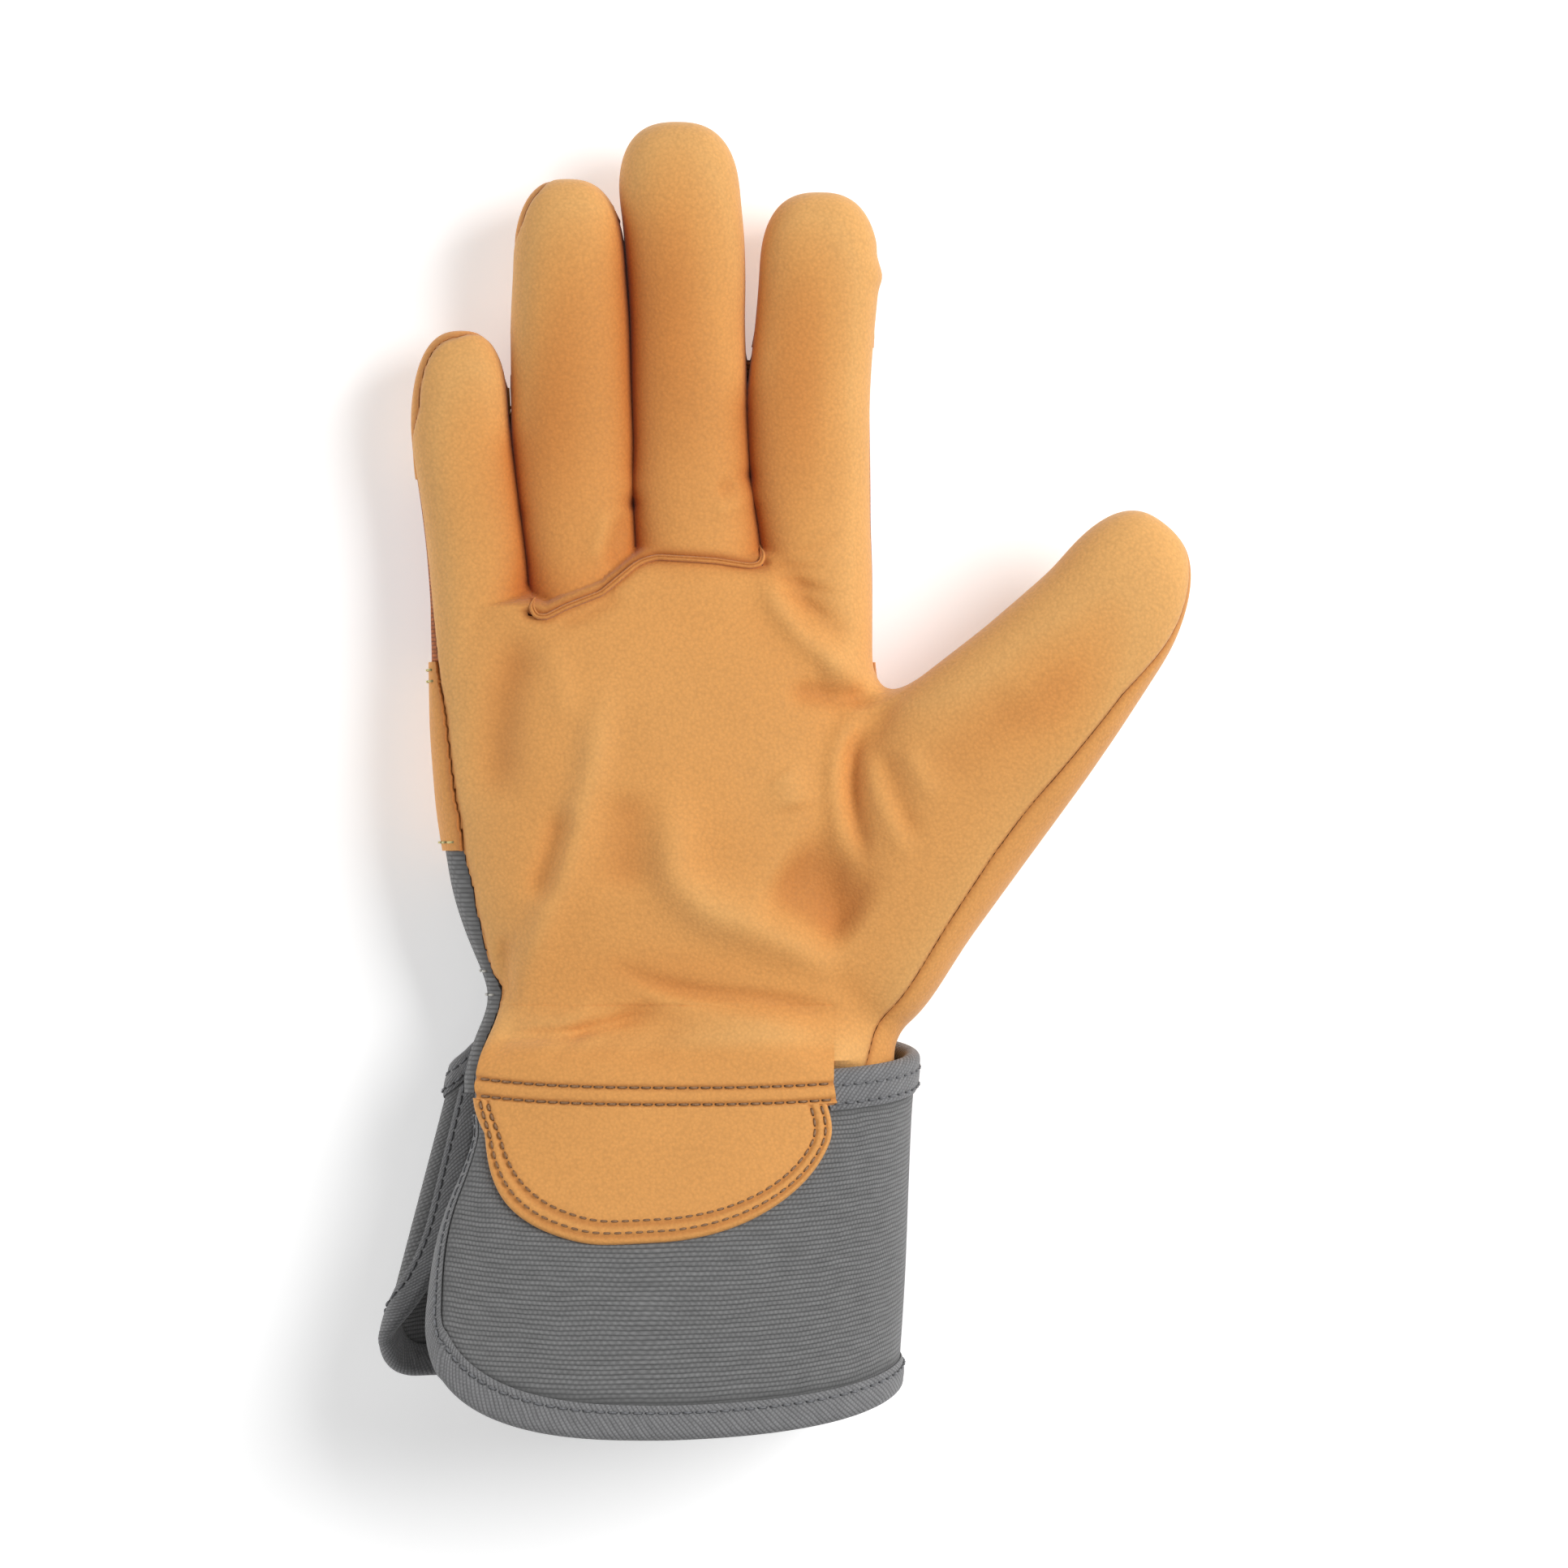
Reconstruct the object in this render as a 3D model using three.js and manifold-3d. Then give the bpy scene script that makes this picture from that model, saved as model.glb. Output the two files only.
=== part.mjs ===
// Synthetic leather work glove for the right hand, with a canvas back and a flared safety cuff.
// It lies on its back with the palm up, as it does when it is put down.
// Millimetres, +Z up. +Y points to the fingertips and +X to the thumb. The origin is on the
// surface that the glove lies on, under the middle of its outline.
import * as THREE from 'three';
import { mergeVertices } from 'three/addons/utils/BufferGeometryUtils.js';
import Module from 'manifold-3d';

const wasm = await Module();
wasm.setup();

// Driving dimensions
const WALL = 1.8; // leather or canvas of the hand
const GAP = 0.3; // between neighbouring pieces
const STRAP_PROUD = 0.7; // the knuckle strap stands this far out of the canvas
const CUFF_WALL = 1.8; // stiffened double canvas of the cuff
const TAPE = 0.8; // one leaf of the folded binding tape
const EDGE_TAPE_WIDTH = 6.4; // leaf of the binding along the cuff's free edges
const TOP_TAPE_WIDTH = 8.0; // leaf of the binding round the cuff's top edge
const PATCH_WALL = 1.3; // pulse patch and the palm's hem over the cuff
const ROUNDNESS = 2.3; // exponent of the superellipse that every section is
const CAP_ROUNDNESS = 2.6; // the same along the axis of a fingertip
const WRIST_END = -62; // the hand ends inside the cuff here
const STRAP_Y = [-14, 25.8]; // lower and upper edge of the knuckle strap

// Sections of each digit and of the palm. along runs up the digit's own axis, left and right are
// its sides across that axis, mid is the height of its middle and half its half thickness.
const columns = (names, rows) => rows.map((row) => Object.fromEntries(names.map((n, i) => [n, row[i]])));
const SECTION = ['along', 'left', 'right', 'mid', 'half'];

const LITTLE = {
  origin: [0, 0], heading: 90, capFrom: 76.7, tip: 96.0,
  rows: columns(SECTION, [
    [20.0, -74.6, -54.0, 16.0, 13.0],
    [37.2, -74.9, -53.8, 15.6, 12.6],
    [45.8, -75.5, -54.7, 15.2, 12.2],
    [54.4, -76.4, -56.0, 15.2, 11.6],
    [63.0, -77.6, -57.0, 15.6, 11.0],
    [71.6, -79.0, -57.9, 16.4, 10.6],
    [76.7, -79.2, -58.0, 17.0, 10.4],
    [96.0, -78.2, -57.2, 18.6, 9.8],
  ]),
};
const RING = {
  origin: [0, 0], heading: 90, capFrom: 109.4, tip: 128.0,
  rows: columns(SECTION, [
    [20.0, -53.0, -32.0, 17.0, 14.0],
    [38.9, -53.0, -31.5, 16.4, 13.2],
    [45.8, -53.8, -31.6, 16.0, 12.8],
    [54.4, -55.2, -31.9, 15.8, 12.4],
    [63.0, -56.3, -32.4, 15.8, 12.2],
    [71.6, -57.2, -32.1, 16.2, 12.2],
    [84.5, -57.9, -32.4, 17.2, 12.2],
    [97.4, -58.0, -32.9, 18.2, 12.0],
    [109.4, -57.3, -34.0, 19.4, 11.6],
    [128.0, -57.0, -35.0, 20.6, 10.8],
  ]),
};
const MIDDLE = {
  origin: [0, 0], heading: 90, capFrom: 123.2, tip: 140.0,
  rows: columns(SECTION, [
    [20.0, -30.0, -6.0, 17.4, 14.2],
    [38.0, -30.4, -4.8, 16.8, 13.6],
    [47.5, -30.8, -5.0, 16.2, 13.2],
    [54.4, -31.2, -5.8, 16.0, 12.8],
    [63.0, -31.7, -7.4, 16.0, 12.6],
    [71.6, -31.4, -7.9, 16.2, 12.6],
    [84.5, -31.7, -8.5, 17.0, 12.4],
    [97.4, -32.2, -8.3, 18.0, 12.2],
    [106.0, -32.6, -8.1, 18.8, 12.2],
    [114.6, -33.2, -8.3, 19.6, 12.0],
    [119.0, -33.7, -8.6, 20.0, 11.9],
    [123.2, -34.9, -9.2, 20.4, 11.8],
    [140.0, -35.4, -10.0, 21.8, 11.0],
  ]),
};
const INDEX = {
  origin: [0, 0], heading: 90, capFrom: 107.7, tip: 125.2,
  rows: columns(SECTION, [
    [20.0, -4.0, 18.8, 17.0, 14.0],
    [45.8, -4.2, 18.8, 16.0, 13.0],
    [54.4, -5.1, 18.4, 15.8, 12.6],
    [63.0, -6.8, 18.4, 15.8, 12.4],
    [71.6, -7.3, 18.3, 16.2, 12.4],
    [80.2, -7.8, 18.2, 16.8, 12.4],
    [88.8, -7.2, 18.6, 17.4, 12.2],
    [97.4, -6.1, 19.3, 18.2, 12.0],
    [107.7, -5.2, 20.3, 19.2, 11.8],
    [125.2, -4.8, 19.6, 20.6, 10.8],
  ]),
};
const THUMB = {
  origin: [20.5, -19.6], heading: 52.5, capFrom: 74, tip: 95.3, baseCapFrom: -8, base: -36,
  rows: columns(SECTION, [
    [-36.0, -12.0, 24.8, 20.0, 15.0],
    [-18.0, -15.0, 24.6, 20.4, 16.2],
    [0.0, -19.0, 22.9, 21.6, 17.0],
    [18.3, -21.0, 22.4, 23.4, 16.4],
    [30.4, -21.2, 22.1, 24.8, 15.6],
    [42.0, -18.2, 21.8, 26.2, 14.8],
    [54.8, -14.8, 21.1, 27.6, 13.8],
    [74.2, -10.8, 19.5, 29.6, 12.4],
    [86.0, -10.8, 16.8, 30.6, 11.6],
    [95.3, -11.0, 15.0, 31.2, 11.0],
  ]),
};
const PALM = {
  origin: [0, 0], heading: 90, capFrom: 37, tip: 51,
  rows: columns(SECTION, [
    [-62.0, -64.2, 22.8, 21.4, 15.6],
    [-54.0, -64.4, 23.0, 21.7, 16.2],
    [-48.8, -64.0, 23.4, 21.6, 17.7],
    [-44.5, -62.4, 23.8, 21.2, 18.8],
    [-40.2, -63.6, 24.2, 20.8, 19.4],
    [-31.6, -67.4, 25.0, 20.4, 20.2],
    [-23.0, -70.2, 25.0, 20.0, 20.6],
    [-5.8, -73.0, 22.4, 19.4, 20.0],
    [11.4, -74.4, 20.0, 18.4, 18.8],
    [28.6, -74.7, 18.4, 17.4, 17.4],
    [37.2, -75.0, 18.8, 16.8, 15.8],
    [51.0, -74.6, 18.8, 16.2, 14.8],
  ]),
};
const DIGITS = [LITTLE, RING, MIDDLE, INDEX, THUMB];

// Folds of the palm leather, each along a bent line from start over bend to end. A positive
// height is a ridge and a negative one a crease, and width is the reach to either side.
const FOLDS = columns(['x0', 'y0', 'x1', 'y1', 'x2', 'y2', 'width', 'height'], [
  [-4.6, 45.0, 4.0, 31.0, 16.5, 20.0, 3.6, 1.6], // ridge over the index finger's root
  [3.0, 19.5, 10.0, 19.0, 18.0, 17.9, 3.0, -1.6], // crease into the thumb crotch
  [16.0, 11.5, 12.5, 3.0, 19.0, -17.0, 2.6, -1.7], // first crease of the thumb web
  [18.0, 13.0, 18.5, 2.0, 26.0, -16.0, 2.6, 1.1], // ridge beside it
  [20.0, 11.0, 24.5, 1.0, 28.0, -7.0, 2.4, -1.0], // second crease of the web
  [-4.0, -4.0, -2.0, -22.0, 19.0, -33.0, 6.0, -2.6], // hollow inside the thumb's ball
  [-22.0, -4.0, -19.0, -22.0, 12.0, -38.0, 5.0, 2.2], // ridge across the heel
  [-38.0, 6.0, -43.0, -18.0, -57.0, -45.5, 4.0, 2.4], // long ridge to the wrist
  [-46.0, -8.0, -49.0, -18.0, -53.0, -26.0, 3.6, -2.0], // crease left of the long ridge
  [-52.6, 33.0, -61.0, 16.0, -61.0, -8.0, 4.0, -2.8], // crease from the welt's left end
  [-36.0, -41.0, -20.0, -43.0, 13.0, -48.0, 3.0, -1.6], // wrist crease
  [-60.0, -53.0, -45.0, -53.5, -22.0, -48.0, 3.6, -1.8], // crease above the hem
]);

// Plan line where the fronts of the ring and middle fingers are sewn to the palm
const WELT_LINE = [
  [-53.6, 38.2], [-52.6, 35.4], [-50.4, 35.2], [-45.8, 36.6], [-38.0, 39.8], [-31.6, 45.0],
  [-26.0, 47.4], [-16.5, 47.0], [-6.0, 46.0], [-4.6, 47.6],
];
// Plan lines between neighbouring fingers
const LITTLE_RING_SPLIT = [
  [-54.3, 46], [-55.6, 54], [-56.7, 63], [-57.6, 72], [-58.15, 84], [-58.2, 92], [-62, 104], [-62, 150],
];
const RING_MIDDLE_TIPS = [[-33.4, 109], [-33.65, 112], [-34.0, 115], [-34.5, 118], [-36.5, 122], [-40, 150]];
const RING_MIDDLE_SPLIT = [
  [-31.2, 48], [-31.6, 55], [-32.1, 63], [-31.8, 72], [-32.1, 84], [-32.6, 97], ...RING_MIDDLE_TIPS,
];
const MIDDLE_INDEX_SPLIT = [
  [-4.9, 50], [-5.5, 54], [-7.1, 63], [-7.6, 71], [-8.1, 80], [-7.9, 90], [-6.8, 104], [-5.5, 150],
];

// Small helpers
const clamp01 = (x) => Math.min(1, Math.max(0, x));
const smooth = (x) => clamp01(x) ** 2 * (3 - 2 * clamp01(x));
const mix = (a, b, t) => a + (b - a) * t;
const degrees = (d) => (d * Math.PI) / 180;
const roundPower = (value, exponent) => Math.sign(value) * Math.abs(value) ** (2 / exponent);

function sectionAt(rows, along) {
  const next = rows.findIndex((row) => row.along > along);
  const i = next < 0 ? rows.length - 2 : Math.max(0, next - 1);
  const t = clamp01((along - rows[i].along) / (rows[i + 1].along - rows[i].along));
  return Object.fromEntries(SECTION.map((name) => [name, mix(rows[i][name], rows[i + 1][name], t)]));
}

// A quadratic curve through a fold's three points, as short straight steps
const foldPoints = FOLDS.map((f) => Array.from({ length: 13 }, (_, i) => {
  const t = i / 12;
  const [a, b, c] = [(1 - t) ** 2, 2 * t * (1 - t), t ** 2];
  const taper = Math.sin(Math.PI * mix(0.12, 0.88, t));
  return [a * f.x0 + b * f.x1 + c * f.x2, a * f.y0 + b * f.y1 + c * f.y2, taper];
}));

// Height that the folds add to the palm leather over a plan point
function relief(x, y) {
  return FOLDS.reduce((sum, fold, k) => {
    let near = Infinity;
    let strength = 0;
    for (const [px, py, taper] of foldPoints[k]) {
      const d = Math.hypot(x - px, y - py);
      if (d < near) [near, strength] = [d, taper];
    }
    return sum + fold.height * strength * Math.exp(-((near / fold.width) ** 2));
  }, 0);
}

// Solids and geometries
function geometryOf(points, faces) {
  const geometry = new THREE.BufferGeometry();
  geometry.setAttribute('position', new THREE.Float32BufferAttribute(points.flat(), 3));
  geometry.setIndex(faces.flat());
  return geometry;
}

function solidOf(geometry) {
  const bare = geometry.clone();
  bare.deleteAttribute('normal');
  bare.deleteAttribute('uv');
  const merged = mergeVertices(bare, 1e-4);
  return new wasm.Manifold(new wasm.Mesh({
    numProp: 3,
    vertProperties: new Float32Array(merged.attributes.position.array),
    triVerts: new Uint32Array(merged.index.array),
  }));
}

function geometryFrom(solid) {
  const mesh = solid.getMesh();
  const geometry = new THREE.BufferGeometry();
  geometry.setAttribute('position', new THREE.Float32BufferAttribute(mesh.vertProperties, 3));
  geometry.setIndex(Array.from(mesh.triVerts));
  return geometry;
}

const unionOf = (solids) => solids.reduce((sum, solid) => sum.add(solid));

// Closed skin over rows of points: rings that close on themselves. A flat profile's own triangles
// close the ends, or else a point in the middle of each does.
function skinRings(rings, profile) {
  const count = rings[0].length;
  const points = rings.flat();
  const faces = [];
  for (let r = 0; r + 1 < rings.length; r += 1) {
    for (let k = 0; k < count; k += 1) {
      const [a, b] = [r * count + k, r * count + ((k + 1) % count)];
      faces.push([a, b, b + count], [a, b + count, a + count]);
    }
  }
  const last = (rings.length - 1) * count;
  if (profile) {
    const flat = profile.map(([u, v]) => new THREE.Vector2(u, v));
    for (const [a, b, c] of THREE.ShapeUtils.triangulateShape(flat, [])) {
      const side = new THREE.Vector2().subVectors(flat[b], flat[a]);
      const turn = side.cross(new THREE.Vector2().subVectors(flat[c], flat[a]));
      const clockwise = THREE.ShapeUtils.isClockWise(flat) === turn < 0 ? [a, b, c] : [a, c, b];
      faces.push(clockwise.toReversed(), clockwise.map((k) => last + k));
    }
    return geometryOf(points, faces);
  }
  const centre = (ring) => [0, 1, 2].map((axis) => ring.reduce((sum, p) => sum + p[axis], 0) / count);
  const ends = [points.length, points.length + 1];
  points.push(centre(rings[0]), centre(rings.at(-1)));
  for (let k = 0; k < count; k += 1) {
    const next = (k + 1) % count;
    faces.push([ends[0], next, k], [ends[1], last + k, last + next]);
  }
  return geometryOf(points, faces);
}

// Loft through a table's sections. grow moves the surface outwards, and the underside is pressed
// flat where the glove rests.
function loft(digit, { grow = 0, rings = 14, around = 24, folded = false, extend = 0 }) {
  const { rows, origin, heading } = digit;
  const [cosH, sinH] = [Math.cos(degrees(heading)), Math.sin(degrees(heading))];
  const tip = digit.tip + grow;
  const start = (digit.base ?? rows[0].along) - (digit.base === undefined ? extend : grow);
  const floor = STRAP_PROUD - grow;
  const stations = [];
  const body = [digit.base === undefined ? start : digit.baseCapFrom, digit.capFrom];
  const capSteps = [0.5, 0.76, 0.92, 0.99];
  if (digit.base !== undefined) stations.push(...capSteps.toReversed().map((s) => mix(body[0], start, s)));
  for (let i = 0; i <= rings; i += 1) stations.push(mix(body[0], body[1], i / rings));
  stations.push(...capSteps.map((s) => mix(digit.capFrom, tip, s)));
  const skins = stations.map((along) => {
    const s = sectionAt(rows, along);
    const intoTip = clamp01((along - digit.capFrom) / (tip - digit.capFrom));
    const baseCap = (digit.baseCapFrom ?? start) - start;
    const intoBase = baseCap > 0 ? clamp01(1 - (along - start) / baseCap) : 0;
    const shrink = (1 - Math.max(intoTip, intoBase) ** CAP_ROUNDNESS) ** (1 / CAP_ROUNDNESS);
    const across = ((s.right - s.left) / 2 + grow) * shrink;
    const half = (s.half + grow) * shrink;
    return Array.from({ length: around }, (_, k) => {
      const angle = (2 * Math.PI * k) / around;
      const v = (s.left + s.right) / 2 + across * roundPower(Math.cos(angle), ROUNDNESS);
      const rise = half * roundPower(Math.sin(angle), ROUNDNESS);
      const x = origin[0] + along * cosH + v * sinH;
      const y = origin[1] + along * sinH - v * cosH;
      const lift = folded && rise > 0 ? relief(x, y) * smooth((2.2 * rise) / half) : 0;
      return [x, y, Math.max(floor, s.mid + rise + lift)];
    });
  });
  return skinRings(skins.map((ring) => ring.toReversed()));
}

// The hand's outer or inner surface as one solid
function handSolid(grow, extend, fine) {
  const palm = loft(PALM, { grow, rings: 5 + 11 * fine, around: 16 + 12 * fine, folded: true, extend });
  const thumb = loft(THUMB, { grow, rings: 4 + 4 * fine, around: 12 + 6 * fine, folded: true });
  const fingers = [LITTLE, RING, MIDDLE, INDEX].map((digit) => (
    loft(digit, { grow, rings: 4 + 2 * fine, around: 10 + 4 * fine })));
  return unionOf([palm, thumb, ...fingers].map(solidOf));
}

// Height of the palm side's surface over a plan point
function frontHeight(x, y) {
  return Math.max(...[PALM, ...DIGITS].map((digit) => {
    const [dx, dy] = [x - digit.origin[0], y - digit.origin[1]];
    const [cosH, sinH] = [Math.cos(degrees(digit.heading)), Math.sin(degrees(digit.heading))];
    const along = dx * cosH + dy * sinH;
    const v = dx * sinH - dy * cosH;
    if (along > digit.tip || along < (digit.base ?? -Infinity)) return 0;
    const s = sectionAt(digit.rows, along);
    const share = Math.abs((2 * v - s.left - s.right) / (s.right - s.left));
    const cap = 1 - clamp01((along - digit.capFrom) / (digit.tip - digit.capFrom)) ** CAP_ROUNDNESS;
    const rise = Math.max(0, cap ** (ROUNDNESS / CAP_ROUNDNESS) - share ** ROUNDNESS) ** (1 / ROUNDNESS);
    return rise > 0 ? s.mid + s.half * rise : 0;
  }));
}

// Height of the seam between the palm side and the back. It climbs over the outer side of the
// thumb and along the little finger's side of the palm, where the photo shows it from above.
function seamHeight(x, y) {
  const [dx, dy] = [x - THUMB.origin[0], y - THUMB.origin[1]];
  const [cosH, sinH] = [Math.cos(degrees(THUMB.heading)), Math.sin(degrees(THUMB.heading))];
  const along = dx * cosH + dy * sinH;
  const v = dx * sinH - dy * cosH;
  const s = sectionAt(THUMB.rows, along);
  const onThumb = Math.max(13, s.mid + 0.72 * (v - (s.left + s.right) / 2));
  const onPalm = 17 + 9 * smooth((-56 - x) / 16) * smooth((52 - y) / 12);
  return mix(onPalm, onThumb, smooth((v + 24) / 10));
}

// Everything above (side 1) or below (side -1) the seam, less half a gap
function seamSide(side) {
  const [nx, ny, step] = [18, 21, 12];
  const corner = [-98, -84];
  const flat = side > 0 ? 90 : -40;
  const grid = (height) => Array.from({ length: nx * ny }, (_, i) => {
    const [x, y] = [corner[0] + (i % nx) * step, corner[1] + Math.floor(i / nx) * step];
    return [x, y, height(x, y)];
  });
  const cut = grid((x, y) => seamHeight(x, y) + (side * GAP) / 2);
  const far = grid(() => flat);
  const [upper, lower] = side > 0 ? [far, cut] : [cut, far];
  return solidOf(skinSheet(upper, lower, nx, ny));
}

// Closed sheet between two grids of points, nx across and ny along
function skinSheet(upper, lower, nx, ny) {
  const points = [...upper, ...lower];
  const half = upper.length;
  const faces = [];
  const quad = (a, b, c, d) => faces.push([a, b, c], [a, c, d]);
  for (let j = 0; j + 1 < ny; j += 1) {
    for (let i = 0; i + 1 < nx; i += 1) {
      const a = j * nx + i;
      quad(a, a + 1, a + nx + 1, a + nx);
      quad(half + a, half + a + nx, half + a + nx + 1, half + a + 1);
    }
  }
  for (let i = 0; i + 1 < nx; i += 1) {
    const top = (ny - 1) * nx + i;
    quad(half + i, half + i + 1, i + 1, i);
    quad(top, top + 1, half + top + 1, half + top);
  }
  for (let j = 0; j + 1 < ny; j += 1) {
    const [a, b] = [j * nx, j * nx + nx - 1];
    quad(half + a + nx, half + a, a, a + nx);
    quad(half + b, half + b + nx, b + nx, b);
  }
  return geometryOf(points, faces);
}

// Upright prism over a plan outline
function prism(outline) {
  const shape = new THREE.Shape(outline.map(([x, y]) => new THREE.Vector2(x, y)));
  const geometry = new THREE.ExtrudeGeometry(shape, { depth: 150, bevelEnabled: false });
  return solidOf(geometry.translate(0, 0, -50));
}

const block = (x0, x1, y0, y1) => prism([[x0, y0], [x1, y0], [x1, y1], [x0, y1]]);

// A plan line moved sideways by half a gap, to the right of its direction for a positive distance
function shifted(line, distance) {
  return line.map((point, i) => {
    const [a, b] = [line[Math.max(0, i - 1)], line[Math.min(line.length - 1, i + 1)]];
    const length = Math.hypot(b[0] - a[0], b[1] - a[1]);
    return [point[0] + (distance * (b[1] - a[1])) / length, point[1] - (distance * (b[0] - a[0])) / length];
  });
}

// The cuff is one sheet bent into a ring. around runs from the palm side's free edge (0) over the
// thumb side and the back to the back side's free edge (1), and down from the top edge (0) to the
// bottom edge (1). Both free ends leave the ring: the palm side's edge turns down, and the back
// side's edge turns inwards and lies under it.
const CUFF = {
  top: { x: -21.6, a: 48.6, z: 22.6, b: 20.5 },
  bottom: { x: -32.2, a: 55.4, z: 29.6, b: 27.5 },
  palmEnd: 8.2, // length of the palm side's free end
  backEnd: 12, // and of the back side's
  backAngle: -165, // where it leaves the ring
  length: 255, // round the ring, for laying out tapes and corners
  height: 73,
  palmCorner: [48, 24], // the free corners are quarter ellipses, across and down
  backCorner: [30, 36],
};

function ringPoint(angle, down) {
  const at = (key) => mix(CUFF.top[key], CUFF.bottom[key], down);
  return [
    at('x') + at('a') * roundPower(Math.cos(degrees(angle)), 2.45),
    at('z') + at('b') * roundPower(Math.sin(degrees(angle)), 2.45),
  ];
}

// Walk from a point of the ring in a heading that turns on a radius and then goes straight
function walk([x, z], heading, turn, radius, distance) {
  const arc = Math.min(Math.abs(turn) * radius, distance);
  const steps = 4;
  let [px, pz, h] = [x, z, heading];
  for (let i = 0; i < steps; i += 1) {
    const dh = (Math.sign(turn) * arc) / radius / steps;
    px += (arc / steps) * Math.cos(h + dh / 2);
    pz += (arc / steps) * Math.sin(h + dh / 2);
    h += dh;
  }
  return [px + (distance - arc) * Math.cos(h), pz + (distance - arc) * Math.sin(h), h];
}

function cuffPoint(around, down, offset) {
  const from = CUFF.palmEnd / CUFF.length;
  const to = 1 - CUFF.backEnd / CUFF.length;
  const palmAngle = 144.5 + 4.5 * Math.exp(-(((down - 0.45) / 0.25) ** 2));
  const angle = mix(palmAngle, CUFF.backAngle, clamp01((around - from) / (to - from)));
  const here = ringPoint(angle, down);
  const next = ringPoint(angle - 0.5, down);
  const ringHeading = Math.atan2(next[1] - here[1], next[0] - here[0]);
  let [x, z, heading] = [...here, ringHeading];
  if (around < from) {
    const turn = (degrees(86) - ringHeading) * (1 - smooth((down - 0.2) / 0.8));
    const [px, pz, h] = walk(here, ringHeading + Math.PI, turn, 1.5, (from - around) * CUFF.length);
    [x, z, heading] = [px, pz, h - Math.PI];
  }
  if (around > to) {
    const turn = degrees(mix(22, 12, down)) - ringHeading;
    [x, z, heading] = walk(here, ringHeading, turn, 2.5, (around - to) * CUFF.length);
  }
  x -= offset * Math.sin(heading);
  z += offset * Math.cos(heading);
  const top = -57 - 4.2 * Math.sin(degrees(angle));
  const front = Math.sin(degrees(angle * 0.857));
  const bottom = -124.9 - 7.4 * (front + Math.hypot(front, 0.25));
  return [x, mix(top, bottom, down), Math.max(2.15 - offset, z)];
}

// How far down the sheet reaches at a place round the ring, inset from its bound edge
function cuffReach(around, inset) {
  const fromEnd = Math.min(around, 1 - around) * CUFF.length;
  const [wide, high] = around < 0.5 ? CUFF.palmCorner : CUFF.backCorner;
  const into = clamp01((wide - fromEnd) / (wide - inset));
  return CUFF.height - high + (high - inset) * Math.sqrt(1 - into ** 2);
}

function cuffSheet() {
  const rows = 9;
  const inset = 0.6;
  const places = [0, 6.6, 7.2, 8.2, 11, 14];
  for (let i = 1; i < 25; i += 1) places.push(mix(14, CUFF.length - 16, i / 25));
  for (const fromEnd of [16, 12, 11, 10, 8.6, 0]) places.push(CUFF.length - fromEnd);
  const steps = places.length - 1;
  const surface = (offset) => {
    const points = [];
    for (let j = rows - 1; j >= 0; j -= 1) {
      for (let i = 0; i <= steps; i += 1) {
        const around = mix(inset / CUFF.length, 1 - inset / CUFF.length, places[i] / CUFF.length);
        const reach = cuffReach(around, inset) / CUFF.height;
        const start = inset / CUFF.height + 0.09 * smooth((around - 0.951) / 0.02);
        points.push(cuffPoint(around, mix(start, reach, j / (rows - 1)), offset));
      }
    }
    return points;
  };
  return skinSheet(surface(CUFF_WALL / 2), surface(-CUFF_WALL / 2), steps + 1, rows);
}

// Folded tape over an edge of the cuff: a U-shaped section carried along a line of the sheet.
// Each station has a place on the edge and the direction into the sheet.
function tapeAlong(stations, width) {
  const inside = CUFF_WALL / 2 + GAP + 0.15;
  const outside = inside + TAPE;
  const profile = [
    [width, outside], [-TAPE, outside], [-TAPE, -outside], [width, -outside],
    [width, -inside], [0.1, -inside], [0.1, inside], [width, inside],
  ];
  const ordered = stations[0].into[0] > 0 ? profile : profile.toReversed();
  return skinRings(stations.map(({ around, down, into }) => ordered.map(([depth, offset]) => cuffPoint(
    around + (depth * into[0]) / CUFF.length,
    down + (depth * into[1]) / CUFF.height,
    offset,
  ))), ordered);
}

function edgeStations(topGapPalm, topGapBack) {
  const { length, height, palmCorner, backCorner } = CUFF;
  const stations = [];
  const add = (s, q, into) => stations.push({ around: s / length, down: q / height, into });
  const addCorner = ([wide, high], side, step) => {
    const a = degrees(15 * step);
    const s = wide * (1 - Math.cos(a));
    const normal = [Math.cos(a) / wide, -Math.sin(a) / high];
    const size = Math.hypot(...normal);
    const into = [(side * normal[0]) / size, normal[1] / size];
    add(side > 0 ? s : length - s, height - high * (1 - Math.sin(a)), into);
  };
  for (let i = 0; i < 6; i += 1) add(0, mix(topGapPalm, height - palmCorner[1], i / 6), [1, 0]);
  for (let i = 0; i <= 6; i += 1) addCorner(palmCorner, 1, i);
  for (let i = 1; i < 27; i += 1) add(mix(palmCorner[0], length - backCorner[0], i / 27), height, [0, -1]);
  for (let i = 6; i >= 0; i -= 1) addCorner(backCorner, -1, i);
  for (let i = 5; i >= 0; i -= 1) add(length, mix(topGapBack, height - backCorner[1], i / 6), [-1, 0]);
  return stations;
}

const TOP_TAPE_FROM = 0.3045; // just past the palm hem's right end
function topStations() {
  const steps = 29;
  return Array.from({ length: steps + 1 }, (_, i) => (
    { around: mix(TOP_TAPE_FROM, 0.951, i / steps), down: 0, into: [0, 1] }));
}

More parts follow.
